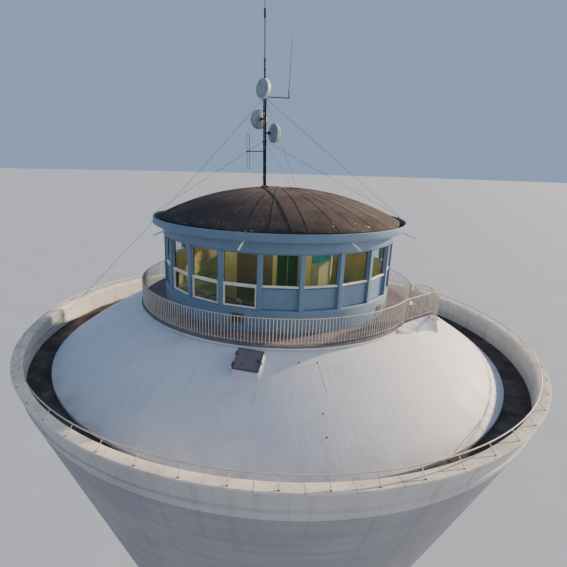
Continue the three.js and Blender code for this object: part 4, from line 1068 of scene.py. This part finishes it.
def make_panels():
    shape = Shape("bay_panels", "blue_paint")
    height = SILL_BOTTOM + 0.05 - BASE_TOP
    front = FRAME_FACE - 0.03
    for bay in range(BAYS - LOW_GLAZED):
        azimuth = BAY_START + (bay + 0.5) * BAY_ANGLE
        back = at(GLASS_RADIUS * BAY_COSINE - 0.04, azimuth, BASE_TOP + height / 2)
        shape.box((bay_width(GLASS_RADIUS), 0.08, height - 0.01), 0.004, back)
        panel = at(front - 0.06, azimuth, BASE_TOP + 0.46)
        shape.box((bay_width(front) - 0.22, 0.05, 0.9), 0.012, panel)
    shape.build("blue_paint", "lower_panels")


def make_eave():
    """Gutter box with its upstand, felt bed, straps, white rain spouts and the stays' eyes."""
    shape = Shape("eave", "blue_paint", "white_paint", "bitumen")
    inner = EAVE_RADIUS - 0.06
    profile = [
        (ROOM_INNER_RADIUS, BAND_TOP + JOINT), (EAVE_RADIUS - 0.01, BAND_TOP + JOINT),
        (EAVE_RADIUS, BAND_TOP + 0.02), (EAVE_RADIUS, EAVE_TOP - 0.01), (EAVE_RADIUS - 0.01, EAVE_TOP),
        (inner, EAVE_TOP), (inner - 0.01, EAVE_TOP - 0.01), (inner - 0.01, EAVE_FLOOR),
        (ROOM_INNER_RADIUS, EAVE_FLOOR),
    ]
    shape.add(revolve(profile))
    near, far, foot = ROOF_EDGE_RADIUS + 0.005, inner - 0.005, EAVE_FLOOR - 0.01
    shape.add(revolve([(near, foot), (far, foot), (far, EAVE_FLOOR + 0.02), (near, EAVE_FLOOR + 0.012)]), 2)
    for i in range(STRAPS):
        turn = 360 * i / STRAPS
        place = at(EAVE_RADIUS - 0.004, STRAP_START + turn, (BAND_TOP + EAVE_TOP) / 2)
        shape.box((0.06, 0.01, EAVE_TOP - BAND_TOP - 0.03), 0.003, place)
        spout = ((6.1, 5.655), (6.3, 5.58), (6.89, 5.365))
        shape.rod([polar(r, SPOUT_START + turn, z) for r, z in spout], 0.038, 12, 1)
    for azimuth in STAY_EYES:
        shape.box((0.13, 0.045, 0.1), 0.01, at(EAVE_RADIUS - 0.0465, azimuth, EAVE_TOP + 0.03))
    shape.build("blue_paint", "eave_gutter")


# Roof of the room, and the vents in its wall. The first felt lap is wide and starts at the mast.
ROOF_EDGE_RADIUS = 6.08
ROOF_EDGE_LEVEL = 5.95
ROOF_APEX_LEVEL = 7.38
ROOF_THICKNESS = 0.16
ROOF_LIGHT = Matrix.Translation((-0.215, 0, 7.34))
STRONG_LAP = 6.0
STRONG_LAP_START = (-0.8, -0.5)
SEEN_LAPS = (12.2, 25.0, 33.5, 43.0)
LAP_PITCH = 9.6
LAP_STEPS = 18
GRILLE = at(ROOM_RADIUS + 0.016, -15.1, 2.22)
SMALL_VENT = at(ROOM_RADIUS + 0.014, 56, 2.12)


def roof_level(radius):
    return ROOF_APEX_LEVEL - (ROOF_APEX_LEVEL - ROOF_EDGE_LEVEL) * (radius / ROOF_EDGE_RADIUS) ** 2.2


def make_roof():
    edge, inside = ROOF_EDGE_RADIUS, ROOF_EDGE_RADIUS - 0.2
    outline = [
        *((r, roof_level(r) - ROOF_THICKNESS) for r in (0.1, 1.4, 2.8, 4.0, 5.0, 5.5, inside)),
        (inside, EAVE_FLOOR + JOINT), (edge - 0.01, EAVE_FLOOR + JOINT), (edge, EAVE_FLOOR + 0.02),
        (edge, roof_level(edge) - 0.02), (edge - 0.02, roof_level(edge - 0.02)),
        *((r, roof_level(r)) for r in (5.86, 5.66, 5.4, 5.0, 4.5, 4.0, 3.4, 2.8, 2.1, 1.4, 0.7, 0.1)),
    ]
    Shape("roof_skin", "roof_felt").add(stack(outline)).build("roof_felt", "roof_dome")


def roof_strip(start, end, half, rise, sway):
    """Flat strip that lies on the roof between two plan points."""
    start, end = Vector(start).to_3d(), end.to_3d()
    side = (end - start).cross(UP).normalized()
    shares = spread(0.0, 1.0, LAP_STEPS)
    places = [start.lerp(end, share) + side * shift for share, shift in zip(shares, sway)]
    section = ((-half, -0.012), (-half, rise * 0.7), (half, rise), (half, -0.012))
    return laid_strip(roof_level, places, [side] * LAP_STEPS, section)


def make_roof_laps():
    laps = Shape("roof_laps", "roof_felt", "shadow_gap")
    dice = random.Random(11)
    edges = [STRONG_LAP, *SEEN_LAPS]
    while edges[-1] < 350:
        edges.append(edges[-1] + LAP_PITCH + dice.uniform(-1.2, 1.2))
    for i, azimuth in enumerate(edges):
        end = polar(ROOF_EDGE_RADIUS - 0.03, azimuth).xy
        sway = [dice.uniform(-0.012, 0.012) for _ in range(LAP_STEPS)]
        if azimuth == STRONG_LAP:
            laps.add(roof_strip(STRONG_LAP_START, end, 0.035, 0.02, sway), 1)
            continue
        start = polar(0.6 if i % 2 else 2.4 + dice.uniform(-0.4, 0.4), azimuth).xy
        laps.add(roof_strip(start, end, 0.05, 0.008, sway))
        side = polar(0.055, azimuth + 90).xy
        laps.add(roof_strip(start - side, end - side, 0.007, 0.007, sway), 1)
    laps.build("roof_felt")


def make_roof_light():
    shape = Shape("roof_light", "white_paint")
    shape.box((0.62, 0.62, 0.2), 0.02, ROOF_LIGHT)
    shape.box((0.66, 0.66, 0.045), 0.012, moved(ROOF_LIGHT, z=0.107))
    shape.build("white_paint", "roof_hatch")


def make_vents():
    """A framed grille with upright bars, and a small cover with tilted slats."""
    grille = Shape("grille", "vent_brown", "shadow_gap")
    front = moved(GRILLE, y=-0.006)
    grille.box((0.5, 0.02, 0.42), 0.004, moved(GRILLE, y=0.002), 1)
    for side in (-1, 1):
        grille.box((0.04, 0.036, 0.45), 0.006, moved(front, side * 0.245))
        grille.box((0.53, 0.036, 0.04), 0.006, moved(front, z=side * 0.205))
    for x in spread(-0.18, 0.18, 7):
        grille.box((0.03, 0.022, 0.39), 0.005, moved(front, x))
    grille.build("vent_brown", "vent_grille")

    cover = Shape("small_vent", "vent_brown", "shadow_gap")
    cover.box((0.5, 0.02, 0.35), 0.006, SMALL_VENT)
    for z in spread(-0.12, 0.12, 5):
        slat = moved(SMALL_VENT, 0, -0.014, z) @ Matrix.Rotation(0.5, 4, "X")
        cover.box((0.42, 0.02, 0.02), 0.004, slat, 1)
    cover.build("vent_brown", "vent_cover")


# Inside of the room. Tables and chairs stand at a radius, an azimuth and a turn.
CORE_RADIUS = 3.0
CORE_SIDES = 16
CORE_TURN = 360 / CORE_SIDES
CORE_FACE = CORE_RADIUS * math.cos(math.pi / CORE_SIDES)
CORE_HALF_SIDE = CORE_RADIUS * math.sin(math.pi / CORE_SIDES)
CORE_DOOR_AZIMUTH = 10.7
CORE_DOOR_TOP = 4.9
CORE_TOP = 5.4
SHEET_THICKNESS = 0.012
SHEET_FOOT, SHEET_TOP = DECK_LEVEL + 0.05, CORE_TOP - 0.05
TEAL_FOOT = 3.93
LINING_RADIUS = 5.54
LINING_SIDES = 84
TABLES = ((4.35, -15, 0.0), (4.45, -31, 0.1), (4.4, -48, 0.0))
CHAIRS = ((4.9, 55, 0.5), (4.7, -22, 2.6))


def core_panel(shape, side, start, end, bottom, top, look):
    """Coloured sheet on one side of the core, between two offsets along it."""
    place = at(CORE_FACE, CORE_DOOR_AZIMUTH + side * CORE_TURN, (bottom + top) / 2)
    sheet = moved(place, (start + end) / 2, -SHEET_THICKNESS / 2)
    shape.box((end - start, SHEET_THICKNESS, top - bottom), 0.002, sheet, look)


def make_inside():
    """Walls of the core, the linings, the room's floor and its ceiling."""
    shape = Shape("core_panels", "plaster", "plaster_teal", "brown_wall", "olive_wall")
    half = CORE_HALF_SIDE
    for side in range(CORE_SIDES):
        place = at(CORE_FACE - 0.055, CORE_DOOR_AZIMUTH + side * CORE_TURN, (DECK_LEVEL + CORE_TOP) / 2)
        shape.box((2 * half, 0.11, CORE_TOP - DECK_LEVEL - 0.01), 0.002, place)
    core_panel(shape, -1, -half, half - 0.12, SHEET_FOOT, SHEET_TOP, 2)
    core_panel(shape, -2, -half + 0.3, half, SHEET_FOOT, SHEET_TOP, 2)
    for side, start in ((1, 0.13), (2, -half), (3, -half)):
        core_panel(shape, side, start, half, TEAL_FOOT, SHEET_TOP, 1)
        core_panel(shape, side, start, half, SHEET_FOOT, TEAL_FOOT, 3)
    shape.build("plaster", "core_wall")

    wall = Shape("wall_lining", "olive_wall", "lining_olive")
    low = band(LINING_RADIUS, LINING_RADIUS + 0.02, SHEET_FOOT, BASE_TOP - 0.01)
    wall.add(revolve(low, sides=LINING_SIDES))
    sheet = band(5.495, 5.515, BASE_TOP + 0.01, SILL_BOTTOM)
    end = BAY_START + (BAYS - LOW_GLAZED) * BAY_ANGLE
    wall.add(revolve(sheet, BAY_START, end, LINING_SIDES), 1)
    wall.build("plaster")

    inside = Shape("room_lining", "ceiling", "room_floor")
    for look, level in enumerate((CORE_TOP, DECK_LEVEL)):
        sheet = band(CORE_RADIUS + 0.02, LINING_RADIUS, level + 0.004, level + 0.03)
        inside.add(revolve(sheet, sides=LINING_SIDES), look)
    inside.build("plaster")

    leaf = Shape("core_leaf", "door_green", "galvanised")
    height = CORE_DOOR_TOP - DECK_LEVEL
    place = at(CORE_FACE + 0.028, CORE_DOOR_AZIMUTH, (CORE_DOOR_TOP + DECK_LEVEL) / 2)
    leaf.box((0.99, 0.045, height - 0.01), 0.008, place)
    leaf.box((0.02, 0.02, height - 0.1), 0.004, moved(place, y=-0.014), 1)
    leaf.build("door_green", "core_door")


def add_legs(shape, place, x, y, top, radius):
    for corner in four_corners(x, y):
        shape.rod([place @ Vector((*corner, z)) for z in (0.0, top)], radius)


def make_furniture():
    wood = Shape("tables", "dark_wood")
    for radius, azimuth, turn in TABLES:
        place = at(radius, azimuth, DECK_LEVEL + 0.03) @ Matrix.Rotation(turn, 4, "Z")
        wood.box((1.15, 0.65, 0.04), 0.01, moved(place, z=0.74))
        add_legs(wood, place, 0.5, 0.26, 0.73, 0.02)
    wood.build("plaster")
    white = Shape("chairs", "white_paint")
    for radius, azimuth, turn in CHAIRS:
        place = at(radius, azimuth, DECK_LEVEL + 0.03) @ Matrix.Rotation(turn, 4, "Z")
        white.box((0.42, 0.42, 0.04), 0.012, moved(place, z=0.45))
        white.box((0.42, 0.03, 0.42), 0.012, moved(place, 0, -0.2, 0.68))
        add_legs(white, place, 0.18, 0.18, 0.44, 0.014)
    white.build("white_paint")


# Mast, dishes and antennas. A dish has a name, an azimuth and the centre of its face.
MAST_X = -0.745
MAST_FOOT_LEVEL = 7.42
MAST_TOP_LEVEL = 11.6
MAST_REACH = 0.072
MAST_LEAN = 0.0305
RUNGS = 21
CABLES = 7
DISH_RADIUS = 0.455
DISH_DEPTH = 0.32
DISHES = (
    ("dish_front", -47, (-0.01, -0.4, 11.98)),
    ("dish_left", -152, (-0.29, 0.32, 10.67)),
    ("dish_right", 122, (0.42, 0.16, 10.01)),
)
WHIP_REACH = 1.18
LOOP_TURN = 0.05
LOOP_X = (-0.895, -0.77)
LOOP_Z = (8.27, 9.92)


def mast_point(x, y, level):
    return Vector((MAST_X + x - MAST_LEAN * (level - MAST_FOOT_LEVEL), y, level))


def leg_point(leg, level):
    return mast_point(*polar(MAST_REACH, 60 + 120 * leg, level))


def dish_along(azimuth, centre, distance):
    way = polar(distance, azimuth)
    return mast_point(centre[0] + way.x, centre[1] + way.y, centre[2])


def add_dish_arm(shape, azimuth, centre):
    elbow = dish_along(azimuth, centre, -DISH_DEPTH / 2 - 0.1)
    hub = dish_along(azimuth, centre, -DISH_DEPTH / 2 - 0.002)
    shape.rod([mast_point(0, 0, centre[2]), elbow, hub], 0.033, 12)
    shape.box((0.1, 0.1, 0.16), 0.015, facing(elbow, azimuth))


def make_mast_foot():
    foot = Shape("mast_base", "dark_steel", "galvanised")
    foot.box((0.4, 0.4, 0.1), 0.01, Matrix.Translation((MAST_X, 0, MAST_FOOT_LEVEL - 0.05)))
    for x, y in four_corners(0.16, 0.16):
        bolt = [(0.02, 0), (0.02, 0.02), (0.012, 0.022), (0.012, 0.045)]
        foot.turned(mast_point(x, y, MAST_FOOT_LEVEL - 0.002), bolt, 8, 1)
    foot.build("dark_steel", "mast_foot")


def make_mast_frame():
    """Three legs with rungs and diagonals, the dish arms, the cables and their clips."""
    shape = Shape("mast_frame", "dark_steel", "cable_black")
    low, high = MAST_FOOT_LEVEL + 0.004, MAST_TOP_LEVEL
    for leg in range(3):
        shape.rod([leg_point(leg, z) for z in (low, high)], 0.02)
    levels = spread(low + 0.1, high - 0.08, RUNGS)
    for i, level in enumerate(levels):
        for leg in range(3):
            shape.rod([leg_point(leg, level), leg_point(leg + 1, level)], 0.009, 6)
            if i + 1 < RUNGS:
                ends = [leg_point(leg + i % 2, level), leg_point(leg + 1 - i % 2, levels[i + 1])]
                shape.rod(ends, 0.009, 6)
    collar = [(0.137, 0.0), (0.145, 0.006), (0.145, 0.024), (0.137, 0.03)]
    for level in (9.62, MAST_TOP_LEVEL):
        shape.turned(mast_point(0, 0, level - 0.03), collar, 24)
    for _, azimuth, centre in DISHES[1:]:
        shape.turned(mast_point(0, 0, centre[2] - 0.03), [(MAST_REACH, 0.0), (MAST_REACH, 0.03)], 12)
        add_dish_arm(shape, azimuth, centre)
    dice = random.Random(5)
    for k in range(CABLES):
        angle = k * 51
        reach = 0.03 + 0.045 * dice.random()
        top = dice.choice((9.5, 10.4, 11.5, 11.5))
        path = []
        for z in spread(low + 0.02, top, 24):
            wander = polar(reach + dice.uniform(-0.012, 0.012), angle + dice.uniform(-8, 8), z)
            path.append(mast_point(*wander))
        shape.rod(path, 0.011 + 0.007 * dice.random(), 6, 1)
    for level in spread(low + 0.3, high - 0.3, 14):
        angle = dice.uniform(0, 360)
        shape.box((0.07, 0.035, 0.05), 0.01, facing(mast_point(*polar(0.08, angle, level)), angle), 1)
    shape.build("dark_steel", "mast_lattice")


def make_mast_pole():
    pole = Shape("mast_tube", "dark_steel")
    profile = [
        (0.055, MAST_TOP_LEVEL + 0.004), (0.055, 12.3), (0.042, 12.33), (0.042, 13.38), (0.026, 13.4),
        (0.026, 15.08), (0.045, 15.1), (0.05, 15.12), (0.05, 15.46), (0.045, 15.5), (0.016, 15.52),
        (0.014, 16.2), (0.01, 17.0),
    ]
    points, faces = stack(profile, 20)
    pole.add(([mast_point(*p) for p in points], faces))
    ring = [(0.052, 0), (0.06, 0.01), (0.06, 0.05), (0.052, 0.06)]
    for level in (12.2, 12.85, 13.3):
        pole.turned(mast_point(0, 0, level), ring)
    clamp = 12.54
    pole.box((0.1, 0.3, 0.09), 0.015, Matrix.Translation(mast_point(0, -0.08, clamp)))
    pole.rod([mast_point(0, y, clamp) for y in (-0.2, -0.25)], 0.045, 16)
    add_dish_arm(pole, *DISHES[0][1:])
    pole.build("dark_steel", "mast_pole")


def make_dishes():
    """Each dish has a hub, a cone, a white shroud and a slightly bulged face."""
    edge = DISH_RADIUS
    back = [
        (0.01, 0.004), (0.085, 0.004), (0.09, 0.012), (0.118, 0.048), (0.26, 0.088),
        (0.437, 0.134), (0.446, 0.142), (0.437, 0.147), (0.26, 0.107),
    ]
    shroud = [
        (0.441, 0.138), (edge - 0.004, 0.138), (edge, 0.147),
        (edge, 0.307), (edge - 0.006, 0.316), (0.441, 0.316),
    ]
    face = [(0.442, 0.285), (0.442, 0.302), (0.35, 0.31), (0.22, 0.315), (0.045, 0.317)]
    for name, azimuth, centre in DISHES:
        shape = Shape(f"{name}_shell", "dish_grey", "dish_white", "dark_steel")
        turn = facing(dish_along(azimuth, centre, -DISH_DEPTH / 2), azimuth)
        turn = turn @ Matrix.Rotation(math.pi / 2, 4, "X")
        shape.add(stack(back, 48), 0, turn)
        shape.add(revolve(shroud, sides=48), 1, turn)
        shape.add(stack(face, 48), 0, turn)
        shape.add(revolve(band(0.437, 0.454, 0.134, 0.153), sides=48), 2, turn)
        shape.build("dish_grey", name)


def make_antennas():
    """A whip on an arm to the right, and a long loop on an arm to the left."""
    right = Shape("right_whip", "dark_steel")
    end = WHIP_REACH
    for path, radius, sides in (
        (((0.062, 11.68), (end, 11.64)), 0.024, 10),
        (((end, 11.62), (end - 0.01, 12.0)), 0.025, 10),
        (((end - 0.01, 11.98), (end + 0.05, 13.1), (end + 0.11, 14.4)), [0.014, 0.011, 0.007], 8),
    ):
        right.rod([mast_point(x, 0, z) for x, z in path], radius, sides)
    right.box((0.07, 0.07, 0.06), 0.01, Matrix.Translation(mast_point(end - 0.005, 0, 11.66)))
    right.build("dark_steel", "right_antenna")

    left = Shape("left_loop", "dark_steel")
    y = leg_point(2, 0).y
    left.rod([mast_point(-0.09, y, 9.12), mast_point(-0.95, y, 9.11)], 0.022, 10)
    loop = []
    bend = [(0, LOOP_TURN), (0.015, 0.015), (LOOP_TURN, 0)]
    for i, j in ((0, 0), (1, 0), (1, 1), (0, 1)):
        inwards, upwards = 1 - 2 * i, 1 - 2 * j
        for x, z in bend if i == j else reversed(bend):
            loop.append(mast_point(LOOP_X[i] + inwards * x, y, LOOP_Z[j] + upwards * z))
    left.add(tube(loop, 0.012, wrap=True))
    left.box((0.16, 0.05, 0.06), 0.01, Matrix.Translation(mast_point(-0.832, y, 9.115)))
    left.build("dark_steel", "left_antenna")


def finish_nodes():
    """Materials of the nodes that are shown as they are."""
    looks = {
        "ground_floor": "shaded_concrete", "tank_floor": "shaded_concrete",
        "lower_glazing": "low_window_glass", "upper_glazing": "window_glass",
    }
    for height in ("upper", "lower"):
        for side in ("left", "right", "back"):
            looks[f"stay_{height}_{side}"] = "cable_black"
    for node, look in looks.items():
        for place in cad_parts[node].material_slots:
            place.material = LOOKS[look]


# Studio floor and lights. A sun has an azimuth, an elevation, a softness, a colour and a strength.
FLOOR_REACH = 1500.0
FLOOR_SIDES = 96
SKY_COLOUR, SKY_STRENGTH = (0.5, 0.69, 1.0, 1.0), 0.56
SUNS = (
    ("key", 121, 17, 2, (1.0, 0.77, 0.52), 8.6),
    ("glow", 84, 8, 60, (1.0, 0.88, 0.72), 2.3),
)
LAMPS = 7
LAMP_COLOUR, LAMP_POWER, LAMP_SIZE = (1.0, 0.95, 0.8), 15.0, 0.25
LAMP_RING, LAMP_LEVEL = 4.4, 5.1


def make_stage():
    look = Look("floor", (176, 184, 196), 0.95)
    look.patches((170, 178, 191), 0.15, 3, 0.4, 0.7)
    mesh = bpy.data.meshes.new("floor")
    ring = [polar(FLOOR_REACH, 90 + 360 * i / FLOOR_SIDES, -0.001) for i in range(FLOOR_SIDES)]
    mesh.from_pydata(ring, [], [tuple(range(FLOOR_SIDES))])
    mesh.materials.append(LOOKS["floor"])
    floor = new_object("floor", mesh)


def add_light(name, kind, colour, strength):
    data = bpy.data.lights.new(name, kind)
    data.color = colour
    data.energy = strength
    return new_object(name, data)


def add_sun(name, azimuth, elevation, softness, colour, strength):
    sun = add_light(name, "SUN", colour, strength)
    sun.data.angle = math.radians(softness)
    way = polar(math.cos(math.radians(elevation)), azimuth, math.sin(math.radians(elevation)))
    sun.rotation_mode = "QUATERNION"
    sun.rotation_quaternion = way.to_track_quat("Z", "Y")


def set_lights():
    """Soft sky, a low warm key from behind on the right, a wide glow, and lamps inside the room."""
    world = bpy.data.worlds.new("studio")
    world.use_nodes = True
    sky = world.node_tree.nodes["Background"]
    sky.inputs["Color"].default_value = SKY_COLOUR
    sky.inputs["Strength"].default_value = SKY_STRENGTH
    bpy.context.scene.world = world
    for sun in SUNS:
        add_sun(*sun)
    for i in range(LAMPS):
        lamp = add_light(f"room_lamp_{i}", "POINT", LAMP_COLOUR, LAMP_POWER)
        lamp.data.shadow_soft_size = LAMP_SIZE
        lamp.location = placed(polar(LAMP_RING, -60 + i * 360 / LAMPS, LAMP_LEVEL))


set_camera()
make_foundation()
make_shaft()
make_entrance()
make_tank()
make_parapet()
make_coping()
make_gutter()
make_safety_rail()
make_dome()
make_dome_tape()
make_hatch()
make_deck()
make_apron()
make_railings()
make_room_walls()
make_windows()
make_panels()
make_eave()
make_roof()
make_roof_laps()
make_roof_light()
make_vents()
make_inside()
make_furniture()
make_mast_foot()
make_mast_frame()
make_mast_pole()
make_dishes()
make_antennas()
finish_nodes()
make_stage()
set_lights()
